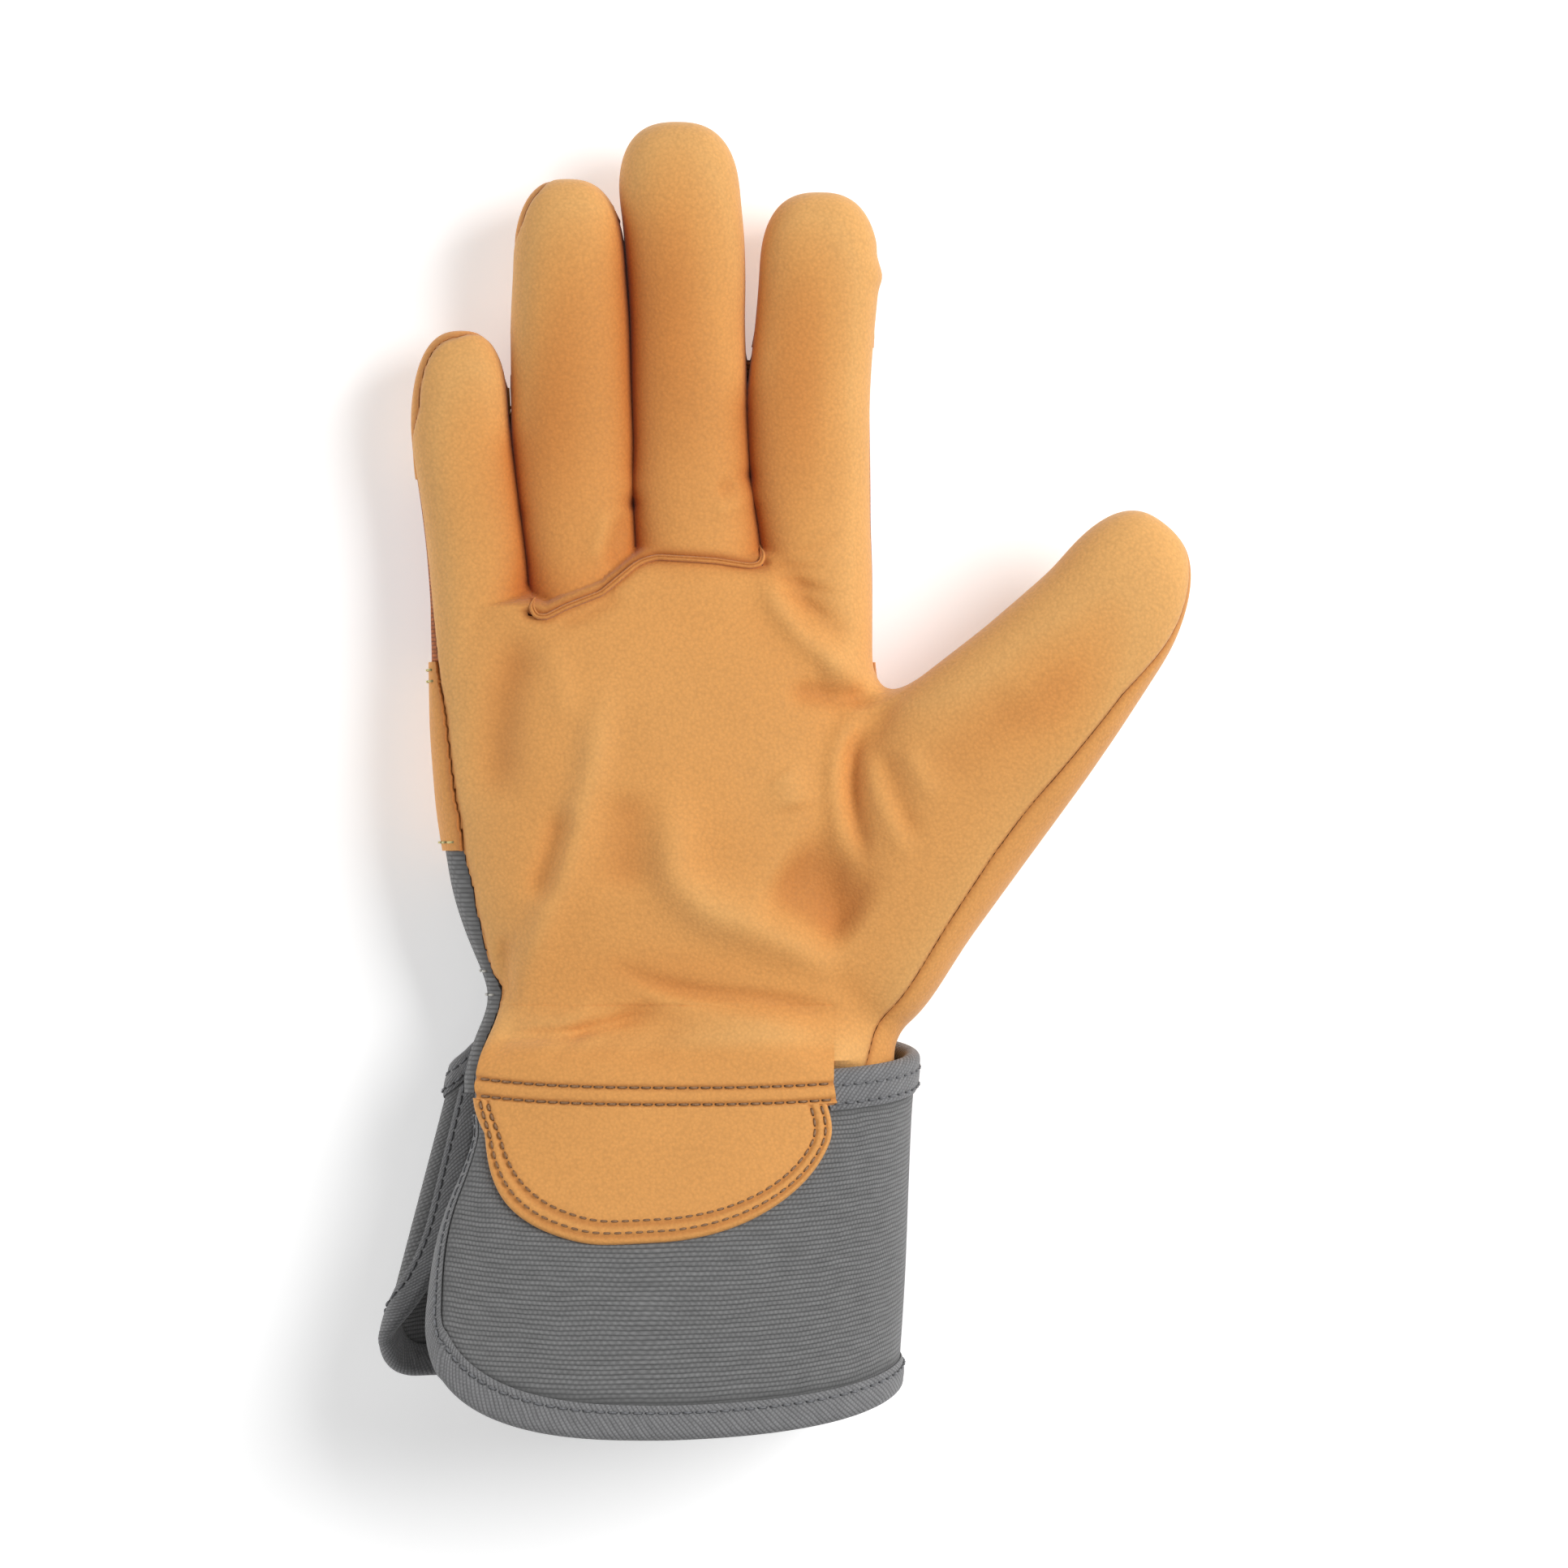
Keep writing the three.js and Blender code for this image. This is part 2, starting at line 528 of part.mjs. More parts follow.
// Sheet that lies on the cuff's palm side, over a range of places round it
function onCuff(fromAround, toAround, topDown, bottomDown, columnsCount, rowsCount, lift, wall) {
  const surface = (offset) => {
    const points = [];
    for (let j = rowsCount - 1; j >= 0; j -= 1) {
      for (let i = 0; i < columnsCount; i += 1) {
        const share = i / (columnsCount - 1);
        const around = mix(fromAround, toAround, share);
        points.push(cuffPoint(around, mix(topDown(share), bottomDown(share), j / (rowsCount - 1)), offset));
      }
    }
    return points;
  };
  return skinSheet(surface(lift + wall), surface(lift), columnsCount, rowsCount);
}

// Half a superellipse below a straight top edge
const PATCH = { from: 0.0305, to: 0.2995, top: 0.1, drop: 0.378 };
const HEM = { from: 0.0335, to: 0.301, bottom: PATCH.top - 0.006 };
const patchLift = CUFF_WALL / 2 + GAP;

function pulsePatch() {
  const bottom = (share) => {
    const across = Math.abs(2 * share - 1);
    return PATCH.top + 0.01 + PATCH.drop * Math.sqrt(Math.max(0, 1 - across ** 2.1));
  };
  return onCuff(PATCH.from, PATCH.to, () => PATCH.top, bottom, 19, 4, patchLift, PATCH_WALL);
}

// The palm leather's hem: it leaves the hand above the wrist and laps over the cuff's top edge
function palmHem() {
  const [across, rows] = [14, 5];
  const leave = -52.5; // where it grows out of the hand
  const surface = (offset) => {
    const points = [];
    for (let j = 0; j < rows; j += 1) {
      for (let i = 0; i < across; i += 1) {
        const around = mix(HEM.from, HEM.to, i / (across - 1));
        const low = cuffPoint(around, HEM.bottom, patchLift + offset);
        const rim = cuffPoint(around, 0.004, patchLift + offset);
        const x = mix(rim[0], PALM_MIDDLE, 0.04);
        const high = [x, leave, frontHeight(x, leave) + relief(x, leave) + offset - PATCH_WALL];
        const t = 1 - j / (rows - 1);
        const share = smooth(t * 2);
        points.push(t <= 0.5
          ? [0, 1, 2].map((axis) => mix(high[axis], rim[axis], axis === 1 ? t * 2 : share))
          : [0, 1, 2].map((axis) => mix(rim[axis], low[axis], t * 2 - 1)));
      }
    }
    return points;
  };
  return skinSheet(surface(PATCH_WALL), surface(0), across, rows);
}
const PALM_MIDDLE = -20.3;

// The raised welt in the seam at the roots of the ring and middle fingers
function fingerWelt() {
  const curve = new THREE.CatmullRomCurve3(WELT_LINE.map(([x, y]) => new THREE.Vector3(x, y, 0)));
  const count = 26;
  const rings = Array.from({ length: count + 1 }, (_, i) => {
    const p = curve.getPointAt(i / count);
    const t = curve.getTangentAt(i / count);
    const base = Math.max(frontHeight(p.x, p.y), frontHeight(p.x, p.y - 2)) + relief(p.x, p.y) + GAP;
    const section = [[-0.9, 0], [0.9, 0], [1.1, 1.2], [0.5, 2], [-0.5, 2], [-1.1, 1.2]];
    return section.map(([side, up]) => [p.x + side * t.y, p.y - side * t.x, base + up]).toReversed();
  });
  return skinRings(rings);
}

// Cut the hand's shell into the leather and canvas panels that it is sewn from
const cavity = handSolid(-WALL, 6, 0);
const skin = handSolid(0, 0, 1).subtract(cavity);
const proudSkin = handSolid(STRAP_PROUD, 0, 0.5).subtract(cavity);
const above = seamSide(1);
const below = seamSide(-1);
const front = skin.intersect(above);
const back = skin.intersect(below);

const ringOutline = [
  ...shifted(WELT_LINE.slice(0, 6), GAP / 2 - 0.3), ...shifted(RING_MIDDLE_SPLIT, -GAP / 2),
  ...shifted(LITTLE_RING_SPLIT, GAP / 2).toReversed(),
];
const middleOutline = [
  [-31.0, 46.2], ...shifted(WELT_LINE.slice(6), GAP / 2 - 0.3), ...shifted(MIDDLE_INDEX_SPLIT, -GAP / 2),
  ...shifted(RING_MIDDLE_SPLIT, GAP / 2).toReversed(),
];
const fingersOutline = [
  ...shifted(WELT_LINE, GAP / 2), ...shifted(MIDDLE_INDEX_SPLIT, GAP / 2),
  ...shifted(LITTLE_RING_SPLIT, -GAP / 2).toReversed(),
];

const thumbSide = [[19.8, 19.5], [14, 0], [8, -22], [4, -70]];
const thumbOutline = [...thumbSide, [90, -70], [90, 90], [30, 90], [24.5, 26]];
const thumbPrism = prism([...shifted(thumbSide, -GAP / 2), ...thumbOutline.slice(4)]);
const notThumbPrism = prism([
  ...shifted(thumbSide, GAP / 2), [-100, -70], [-100, 150], [26, 150], [22.5, 60], [20.8, 24],
]);

const [strapLow, strapHigh] = STRAP_Y;

// Plan outlines of the leather caps on the fingers' backs. gap moves a cap's hem to the tip.
const CAPS = {
  little_fingertip_back: (gap) => [
    [-90, 64.6 + gap], [-56.8, 64.6 + gap], [-57.6, 72], [-58.15, 84], [-58.1, 110], [-90, 110],
  ],
  ring_fingertip_back: (gap) => [
    [-58.1, 95.5 + gap], [-32.5, 95.5 + gap], ...RING_MIDDLE_TIPS, [-62, 150], [-60, 100],
  ],
  middle_fingertip_back: (gap) => [
    [-33.1, 106.5 + gap], [-6.6, 106.5 + gap], [-4, 150], ...RING_MIDDLE_TIPS.toReversed(),
  ],
  index_fingertip_back: (gap) => [
    [-7.6, 92.5 + gap], [30, 92.5 + gap], [30, 150], [-4, 150], [-6.8, 104],
  ],
};

const backHand = back.intersect(notThumbPrism);
const capsCut = Object.values(CAPS).map((outline) => prism(outline(-GAP / 2)));

// Colours and finishes
const material = (color, roughness) => new THREE.MeshStandardMaterial({ color, roughness, metalness: 0 });
const leather = material('#d99d5f', 0.85);
const canvas = material('#7d7e80', 0.95);
const tape = material('#77787a', 0.95);
const duck = material('#b5693d', 0.95);

const glove = new THREE.Group();
const addPiece = (name, shape, finish) => {
  const geometry = shape instanceof THREE.BufferGeometry ? shape : geometryFrom(shape);
  const mesh = new THREE.Mesh(geometry, finish);
  mesh.name = name;
  glove.add(mesh);
};

addPiece('palm_panel', front.subtract(prism(fingersOutline)).add(solidOf(palmHem())), leather);
addPiece('ring_finger_front', front.intersect(prism(ringOutline)), leather);
addPiece('middle_finger_front', front.intersect(prism(middleOutline)), leather);
addPiece('finger_welt', fingerWelt(), leather);
addPiece('thumb_back', back.intersect(thumbPrism), leather);
for (const [name, outline] of Object.entries(CAPS)) {
  addPiece(name, backHand.intersect(prism(outline(GAP / 2))), leather);
}
const fingersBack = backHand.intersect(block(-100, 60, strapHigh + GAP / 2, 150));
addPiece('finger_backs', fingersBack.subtract(unionOf(capsCut)), duck);
const proudBack = proudSkin.intersect(below).intersect(notThumbPrism);
addPiece('knuckle_strap', proudBack.intersect(block(-100, 60, strapLow, strapHigh)), leather);
addPiece('hand_back', backHand.intersect(block(-100, 60, -80, strapLow - GAP / 2)), canvas);
addPiece('cuff_panel', cuffSheet(), canvas);
addPiece('cuff_top_binding', tapeAlong(topStations(), TOP_TAPE_WIDTH), tape);
addPiece('cuff_edge_binding', tapeAlong(edgeStations(9.5, TOP_TAPE_WIDTH + 1), EDGE_TAPE_WIDTH), tape);
addPiece('pulse_patch', pulsePatch(), leather);

export default glove;
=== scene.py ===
import math

import bpy
import numpy as np
from bpy.props import FloatProperty, FloatVectorProperty, PointerProperty
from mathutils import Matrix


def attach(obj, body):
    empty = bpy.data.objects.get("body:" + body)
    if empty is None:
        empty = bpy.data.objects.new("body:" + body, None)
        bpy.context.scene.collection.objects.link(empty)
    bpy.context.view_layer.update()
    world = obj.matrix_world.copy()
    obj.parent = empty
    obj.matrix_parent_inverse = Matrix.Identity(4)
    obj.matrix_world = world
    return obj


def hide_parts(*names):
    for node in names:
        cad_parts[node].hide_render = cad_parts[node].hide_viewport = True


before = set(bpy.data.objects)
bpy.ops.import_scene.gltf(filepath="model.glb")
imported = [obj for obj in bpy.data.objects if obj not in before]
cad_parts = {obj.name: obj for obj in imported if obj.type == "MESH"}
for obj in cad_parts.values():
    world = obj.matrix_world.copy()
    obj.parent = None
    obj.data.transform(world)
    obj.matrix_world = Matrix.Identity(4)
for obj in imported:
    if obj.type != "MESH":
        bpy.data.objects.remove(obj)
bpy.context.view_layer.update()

bl_info = {
    "name": "Work Glove Maker",
    "version": (1, 0, 0),
    "blender": (4, 5, 0),
    "location": "3D View > Sidebar > Work Glove",
    "description": "Dresses a leather and canvas work glove, seams, stitches, weave and all",
    "category": "Add Mesh",
}

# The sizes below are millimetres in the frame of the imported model, as in its own tables. A mesh
# becomes metres when it is put into Blender.
MM = 0.001
STRAP_PROUD, STRAP_WALL = 0.7, 1.9
# The leather's colour is multiplied by these: for painted light on its high places, for painted shade in a
# hollow and, deeper, between two fingers, and for painted shade along seams, crevices and folds
PAINTED_LIGHT_LEATHER = (1.03, 1.17, 1.36)
DARK_LEATHER = (0.80, 0.58, 0.40)
SHADED_LEATHER = (0.62, 0.32, 0.17)
DEEP_LEATHER = (0.50, 0.28, 0.15)
ROUNDNESS = 2.3
CAP_ROUNDNESS = 2.6
STRAP_Y = (-14.0, 25.8)
HEM_START = -46.5
HEM_RIGHT = 10.6
HEM_OVERLAP = 0.9
# Stitch rows: their distances from the rim, the patch's edge, the taped edges and the frame's
# middle, and the pitch of all but the brown ones
HEM_ROWS, PATCH_ROWS = (1.3, 4.7), (1.7, 4.1)
EDGE_TAPE_ROWS, TOP_TAPE_ROWS = (4.9,), (2.8, 6.6)
STRAP_ROWS, WRIST_ROWS, CAP_ROW = (24.1, 21.7, -12.2), (-39.4, -44.5), 1.5
FINE_PITCH = 2.6
# Middle of the hand in a plane across it, for the rays that find its back
HAND_MIDDLE = (-27.0, 18.0)
# Pieces stop this far from the seam that they share, side seams first and then the others
SEAM_GAP, PANEL_GAP = 0.1, 0.12

# Sections of each digit and of the palm: place along its axis, left side, right side, height of
# the middle, half thickness
LITTLE = dict(origin=(0, 0), heading=90, cap=76.7, tip=96.0, base_cap=24, base=-2, rows=[
    (20.0, -74.60, -53.40, 16.0, 13.0), (37.2, -74.90, -53.05, 15.6, 12.6),
    (45.8, -75.50, -53.15, 15.2, 12.2), (54.4, -76.40, -54.35, 15.2, 11.6),
    (63.0, -77.60, -55.65, 15.6, 11.0), (71.6, -79.00, -57.00, 16.4, 10.6),
    (76.7, -79.20, -58.30, 17.0, 10.4), (96.0, -78.20, -58.60, 18.6, 9.8)])
RING = dict(origin=(0, 0), heading=90, cap=109.4, tip=128.0, base_cap=24, base=-2, rows=[
    (20.0, -53.40, -31.60, 17.0, 14.0), (38.9, -54.35, -30.30, 16.4, 13.2),
    (45.8, -54.95, -30.40, 16.0, 12.8), (54.4, -56.15, -30.70, 15.8, 12.4),
    (63.0, -57.25, -31.20, 15.8, 12.2), (71.6, -58.00, -30.90, 16.2, 12.2),
    (84.5, -57.90, -31.70, 17.2, 12.2), (97.4, -58.00, -32.20, 18.2, 12.0),
    (109.4, -57.30, -33.30, 19.4, 11.6), (128.0, -57.00, -34.60, 20.6, 10.8)])
MIDDLE = dict(origin=(0, 0), heading=90, cap=123.2, tip=140.0, base_cap=24, base=-2, rows=[
    (20.0, -30.60, -5.40, 17.4, 14.2), (38.0, -31.60, -3.65, 16.8, 13.6),
    (47.5, -32.00, -3.85, 16.2, 13.2), (54.4, -32.40, -4.65, 16.0, 12.8),
    (63.0, -32.90, -6.25, 16.0, 12.6), (71.6, -32.60, -6.75, 16.2, 12.6),
    (84.5, -32.90, -7.70, 17.0, 12.4), (97.4, -32.90, -8.30, 18.0, 12.2),
    (106.0, -33.30, -8.10, 18.8, 12.2), (114.6, -33.90, -8.30, 19.6, 12.0),
    (119.0, -34.00, -8.60, 20.0, 11.9), (123.2, -34.90, -9.20, 20.4, 11.8),
    (140.0, -35.40, -10.00, 21.8, 11.0)])
INDEX = dict(origin=(0, 0), heading=90, cap=107.7, tip=125.2, base_cap=24, base=-2, rows=[
    (20.0, -4.40, 18.80, 17.0, 14.0), (45.8, -5.25, 18.80, 16.0, 13.0),
    (54.4, -6.15, 18.40, 15.8, 12.6), (63.0, -7.85, 18.40, 15.8, 12.4),
    (71.6, -8.35, 18.30, 16.2, 12.4), (80.2, -8.50, 18.20, 16.8, 12.4),
    (88.8, -7.20, 18.60, 17.4, 12.2), (97.4, -6.10, 19.30, 18.2, 12.0),
    (107.7, -5.20, 20.30, 19.2, 11.8), (125.2, -4.80, 19.60, 20.6, 10.8)])
THUMB = dict(origin=(20.5, -19.6), heading=52.5, cap=74, tip=95.3, base_cap=-8, base=-36, rows=[
    (-36.0, -12.0, 24.8, 20.0, 15.0), (-18.0, -15.0, 24.6, 20.4, 16.2),
    (0.0, -19.0, 22.9, 21.6, 17.0), (18.3, -21.0, 22.4, 23.4, 16.4),
    (30.4, -21.2, 22.1, 24.8, 15.6), (42.0, -18.2, 21.8, 26.2, 14.8),
    (54.8, -14.8, 21.1, 27.6, 13.8), (74.2, -10.8, 19.5, 29.6, 12.4),
    (86.0, -10.8, 16.8, 30.6, 11.6), (95.3, -11.0, 15.0, 31.2, 11.0)])
PALM = dict(origin=(0, 0), heading=90, cap=37, tip=51, base_cap=-1e4, base=-2e4, rows=[
    (-62.0, -67.6, 23.4, 22.4, 18.2), (-54.0, -65.8, 23.2, 22.3, 17.8),
    (-48.8, -63.0, 23.4, 21.9, 18.2), (-44.5, -61.9, 23.8, 21.2, 18.8),
    (-40.2, -63.6, 24.2, 20.8, 19.4), (-31.6, -67.4, 25.0, 20.4, 20.2),
    (-23.0, -70.2, 25.0, 20.0, 20.6), (-5.8, -73.0, 22.4, 19.4, 20.0),
    (11.4, -74.4, 20.0, 18.4, 18.8), (28.6, -74.7, 18.4, 17.4, 17.4),
    (37.2, -75.0, 18.8, 16.8, 15.8), (51.0, -74.6, 18.8, 16.2, 14.8)])

FOLD_DEPTH = 1.15
# Folds of the palm leather: the line of each in plan, its reach to either side and its height,
# below nought for a valley, all taken FOLD_DEPTH times as high
FOLDS = [
    ([(-5, 45.4), (-0.7, 36.8), (4.8, 30.3), (11.2, 24.9), (17.2, 20.1)], 3.2, 2.1),
    ([(0.5, 46), (4.5, 39), (9, 33.5), (15, 28)], 3.4, -0.8),
    ([(19.5, 17.6), (14, 18.2), (8, 18.8), (0, 19.5)], 2.6, -1.5),
    ([(19.8, 16.3), (14.4, 13.1), (11.2, 7.7), (10.7, -0.9), (11.7, -12.7), (14.4, -18.1)], 2.8, 1.5),
    ([(17.6, 13), (14.8, 9.2), (13.8, 0.2), (15.5, -8.4), (17.7, -18.1)], 2.2, -1.4),
    ([(15.5, 9.7), (18.7, -0.9), (24.1, -12.7), (26.3, -17)], 2.4, 0.8),
    ([(19.8, 8.7), (24.1, -3.1), (28.4, -12.7)], 2.3, -0.8),
    ([(25.3, 8.5), (28.6, 1), (31.6, -4.1)], 2.2, 0.6),
    ([(-1.5, 3), (1.5, -0.9), (2.5, -6)], 4.2, 1.2),
    ([(-2, -17), (7.9, -23.4), (17, -30)], 8.5, -3.0),
    ([(-25, 2), (-24.3, -6.2), (-23.2, -19.5), (-15.7, -26.7), (-5, -30.4), (5.8, -35.3), (18, -41.5)],
     5.0, 2.8),
    ([(-53.6, 33.5), (-56.6, 27), (-58.9, 19), (-60.2, 11), (-61.6, -5)], 4.8, -2.0),
    ([(-33.2, 57.5), (-35.3, 52), (-37, 45)], 1.7, -0.8),
    ([(-36.5, 58.5), (-38.5, 52.5), (-40.2, 46)], 2.0, 0.7),
    ([(-9.5, 64), (-12, 62), (-15, 61)], 1.5, -0.6), ([(-7.5, 60), (-11, 58), (-15, 57.5)], 1.7, 0.5),
    ([(-4, 46.6), (3, 45.4), (9.5, 46.4)], 0.9, -0.4), ([(-3, 44.6), (4, 41.8), (12, 40)], 0.9, -0.45),
    ([(-2, 42.3), (4, 38), (10, 34.6)], 0.9, -0.4), ([(1, 48.2), (8, 50), (12.5, 53)], 0.9, -0.3),
    ([(-36, 24), (-38.7, 15.3), (-40.4, 2.4), (-43.7, -8.4), (-46.8, -19.1), (-51.1, -29.9), (-55.4, -40.6),
      (-57.4, -49)], 3.6, 2.2),
    ([(-45.4, -4), (-46.8, -8.4), (-49.2, -17), (-52.6, -26)], 3.0, -1.9),
    ([(-58.9, -31), (-58.9, -38), (-58.4, -47)], 1.8, -1.3),
    ([(-33, 0), (-32.6, -10), (-34, -24)], 6.0, -1.1),
    ([(-38, -36.5), (-28.6, -41.8), (-17.9, -43.9), (-7.1, -44.9), (3.6, -46.1), (14.5, -49.2)], 2.0, -1.0),
    ([(-35, -40), (-24, -45.6), (-10, -48), (4, -49.5)], 2.2, 0.8),
    ([(-62.5, -53.5), (-56, -53.4), (-43.7, -52.5), (-35.1, -49.2), (-25, -46.6)], 1.7, -1.7),
    ([(-56, -49.6), (-47, -48.6), (-38, -45.4)], 1.6, 0.6),
    ([(-50, 31), (-47, 22), (-46, 12)], 3.0, 0.7),
    ([(-48.5, 33.4), (-40, 36.2), (-33.5, 41)], 1.8, -0.7),
    ([(30, 1), (40, 10), (50, 21)], 6.0, -0.8),
]

# Plan lines of the seams
WELT_LINE = [(-52.5, 39.4), (-53.3, 37.4), (-52.2, 35.3), (-50.1, 35.1), (-45.8, 37.3), (-38.5, 40.1),
             (-36.1, 42.1), (-31.5, 46.0), (-29.8, 47.0), (-26.8, 47.8), (-21.5, 47.5), (-14.3, 47.0),
             (-7.1, 45.9), (-5.0, 46.4), (-4.3, 48.3), (-5.2, 50.5)]
WELT_CUT = [(-54.0, 35.6)] + WELT_LINE[3:13] + [(-4.2, 46.2)]
LITTLE_RING_SPLIT = [(-54.3, 46), (-55.6, 54), (-56.7, 63), (-57.6, 72), (-58.15, 84), (-58.2, 92),
                     (-62, 104), (-62, 150)]
RING_MIDDLE_SPLIT = [(-31.2, 48), (-31.6, 55), (-32.1, 63), (-31.8, 72), (-32.1, 84), (-32.6, 97),
                     (-33.4, 109), (-33.65, 112), (-34.0, 115), (-34.5, 118), (-36.5, 122), (-40, 150)]
MIDDLE_INDEX_SPLIT = [(-4.9, 50), (-5.5, 54), (-7.1, 63), (-7.6, 71), (-8.1, 80), (-7.9, 90),
                      (-6.8, 104), (-5.5, 150)]
THUMB_SIDE = [(30, 60), (22.5, 30), (19.8, 19.5), (14, 0), (8, -22), (4, -70)]
CAP_HEMS = dict(little=64.6, ring=95.5, middle=106.5, index=92.5)


def smooth(x):
    """Ramp from 0 to 1 with level ends: three x squared less two x cubed."""
    x = np.clip(x, 0.0, 1.0)
    return x * x * (3.0 - 2.0 * x)


def mix(a, b, t):
    """From a to b by the share t."""
    return a + (b - a) * t


def bump(x, width):
    """A bell: one over e at width from its middle."""
    return np.exp(-(x / width) ** 2)


def line_distance(x, y, line):
    """Distance of plan points to a bent line, with the share of the line's length at the nearest
    point and the side: positive to the left of the line's direction."""
    line = np.asarray(line, float)
    step = np.diff(line, axis=0)
    size = np.hypot(step[:, 0], step[:, 1])
    start = np.concatenate([[0.0], np.cumsum(size)])
    best = np.full(x.shape, 1e9)
    share = np.zeros(x.shape)
    side = np.ones(x.shape)
    for (px, py), (sx, sy), length, run in zip(line[:-1], step, size, start[:-1]):
        t = np.clip(((x - px) * sx + (y - py) * sy) / length ** 2, 0.0, 1.0)
        d = np.hypot(x - px - t * sx, y - py - t * sy)
        near = d < best - 1e-9
        best = np.where(near, d, best)
        share = np.where(near, (run + t * length) / start[-1], share)
        side = np.where(near, np.sign(sx * (y - py) - sy * (x - px)), side)
    return best, share, side


def inside_distance(x, y, outline):
    """Signed plan distance to a closed outline, positive inside. Inside is where a ray to the
    right crosses the outline an odd number of times."""
    ring = np.asarray(list(outline) + [outline[0]], float)
    d, _, _ = line_distance(x, y, ring)
    odd = np.zeros(x.shape, bool)
    for (ax, ay), (bx, by) in zip(ring[:-1], ring[1:]):
        if ay == by:
            continue
        crosses = (ay > y) != (by > y)
        odd ^= crosses & (x < ax + (y - ay) * (bx - ax) / (by - ay))
    return np.where(odd, d, -d)


def run_along(line):
    """Length run from a line's start to each of its points."""
    return np.concatenate([[0], np.cumsum(np.linalg.norm(np.diff(line, axis=0), axis=1))])


def unit(vectors):
    """Vectors made one long."""
    return vectors / np.maximum(np.linalg.norm(vectors, axis=-1, keepdims=True), 1e-12)


def spread(line, pitch):
    """Points along a line of points at an even pitch, as near to it as whole steps allow."""
    line = np.asarray(line, float)
    run = run_along(line)
    count = max(2, int(round(run[-1] / pitch)) + 1)
    at = np.linspace(0, run[-1], count)
    return np.stack([np.interp(at, run, line[:, k]) for k in range(line.shape[1])], axis=1)


def bell_weights(pitch, reach, span):
    """Weights of a bell over even steps, out to span times its reach, which add up to one."""
    k = np.arange(-int(span * reach / pitch), int(span * reach / pitch) + 1) * pitch
    weight = np.exp(-0.5 * (k / reach) ** 2)
    return weight / weight.sum()


def rounded_columns(columns, pitch, reach, span):
    """Round runs of numbers by a bell. Past its ends a run goes on, turned about them."""
    weight = bell_weights(pitch, reach, span)
    pad = len(weight) // 2
    out = []
    for v in columns:
        head, tail = 2 * v[0] - v[1:pad + 1][::-1], 2 * v[-1] - v[-pad - 1:-1][::-1]
        out.append(np.convolve(np.concatenate([head, v, tail]), weight, "valid"))
    return np.array(out)


def rounded_line(line, pitch, reach):
    """The same as spread, with the line's corners rounded by a bell of the given reach."""
    return rounded_columns(spread(line, pitch).T, pitch, reach, 3).T


def fine_sections(digit, step=0.5, reach=3.0):
    """Sections of a digit at every half millimetre, rounded by a bell of the given reach so that
    the sides run in curves and not in straight pieces."""
    rows = np.array(digit["rows"], float)
    along = np.arange(rows[0, 0], rows[-1, 0] + step, step)
    columns = [np.interp(along, rows[:, 0], rows[:, i]) for i in range(1, 5)]
    return along, rounded_columns(columns, step, reach, 4)


for digit in (LITTLE, RING, MIDDLE, INDEX, THUMB, PALM):
    digit["along"], digit["fine"] = fine_sections(digit)


def digit_frame(digit, x, y):
    """Place along a digit's axis and across it, for plan points, with the axis's direction."""
    c, s = math.cos(math.radians(digit["heading"])), math.sin(math.radians(digit["heading"]))
    dx, dy = x - digit["origin"][0], y - digit["origin"][1]
    return dx * c + dy * s, dx * s - dy * c, c, s


def digit_section(digit, along):
    """Left side, right side, middle height and half thickness of a digit at places along it."""
    return [np.interp(along, digit["along"], column) for column in digit["fine"]]


def digit_field(digit, x, y, z):
    """Rough distance outside a digit. Its section is a superellipse, sideways and upwards, which
    its two ends close in the same way; the distance is that form less one, over its slope."""
    n, p = ROUNDNESS, CAP_ROUNDNESS
    along, across, c, s = digit_frame(digit, x, y)
    left, right, mid, half = digit_section(digit, along)
    wide, across = (right - left) / 2, across - (left + right) / 2
    at_tip = along > 0.5 * (digit["cap"] + digit["base_cap"])
    a = np.abs(across) / wide + 1e-6
    b = np.abs(z - mid) / half + 1e-6
    cap, base = digit["tip"] - digit["cap"], digit["base_cap"] - digit["base"]
    t = np.maximum((along - digit["cap"]) / cap, (digit["base_cap"] - along) / base)
    t = np.maximum(t, 1e-6)
    q = (a ** n + b ** n) ** (1 / n)
    r = (q ** p + t ** p) ** (1 / p)
    share = (q / r) ** (p - 1)
    slope_a = (a / q) ** (n - 1) * share / wide
    slope_b = (b / q) ** (n - 1) * share / half
    slope_t = (t / r) ** (p - 1) / np.where(at_tip, cap, base)
    size = np.sqrt(slope_a ** 2 + slope_b ** 2 + slope_t ** 2)
    slope_a = slope_a * np.sign(across)
    slope_b = slope_b * np.sign(z - mid)
    slope_t = slope_t * np.where(at_tip, 1, -1)
    normal = np.stack([slope_a * s + slope_t * c, -slope_a * c + slope_t * s, slope_b]) / size
    return (r - 1) / size, normal


def fillet(first, second, reach, most=9.0):
    """Join two fields by a soft minimum. It fills the corner between them, the more the more they
    face apart, and leaves surfaces that run the same way alone."""
    (f, n), (g, m) = first, second
    k = np.clip(reach * (1 - np.sum(n * m, axis=0)), 0.05, most)
    h = np.clip(0.5 + 0.5 * (g - f) / k, 0, 1)
    field = g + (f - g) * h - k * h * (1 - h)
    normal = m + (n - m) * h
    normal = normal / np.maximum(np.sqrt(np.sum(normal ** 2, axis=0)), 1e-6)
    return field, normal


PALM_SEAM = np.array([(-62, 29), (-46, 28.8), (-39, 27.7), (-31.6, 29.3), (-21.7, 29.8), (-14, 28.9),
                      (-7.6, 28.8), (0.7, 27.4), (13.9, 25.7), (23.7, 23.1), (33.4, 20.5), (38.4, 18.9),
                      (49, 17)]).T


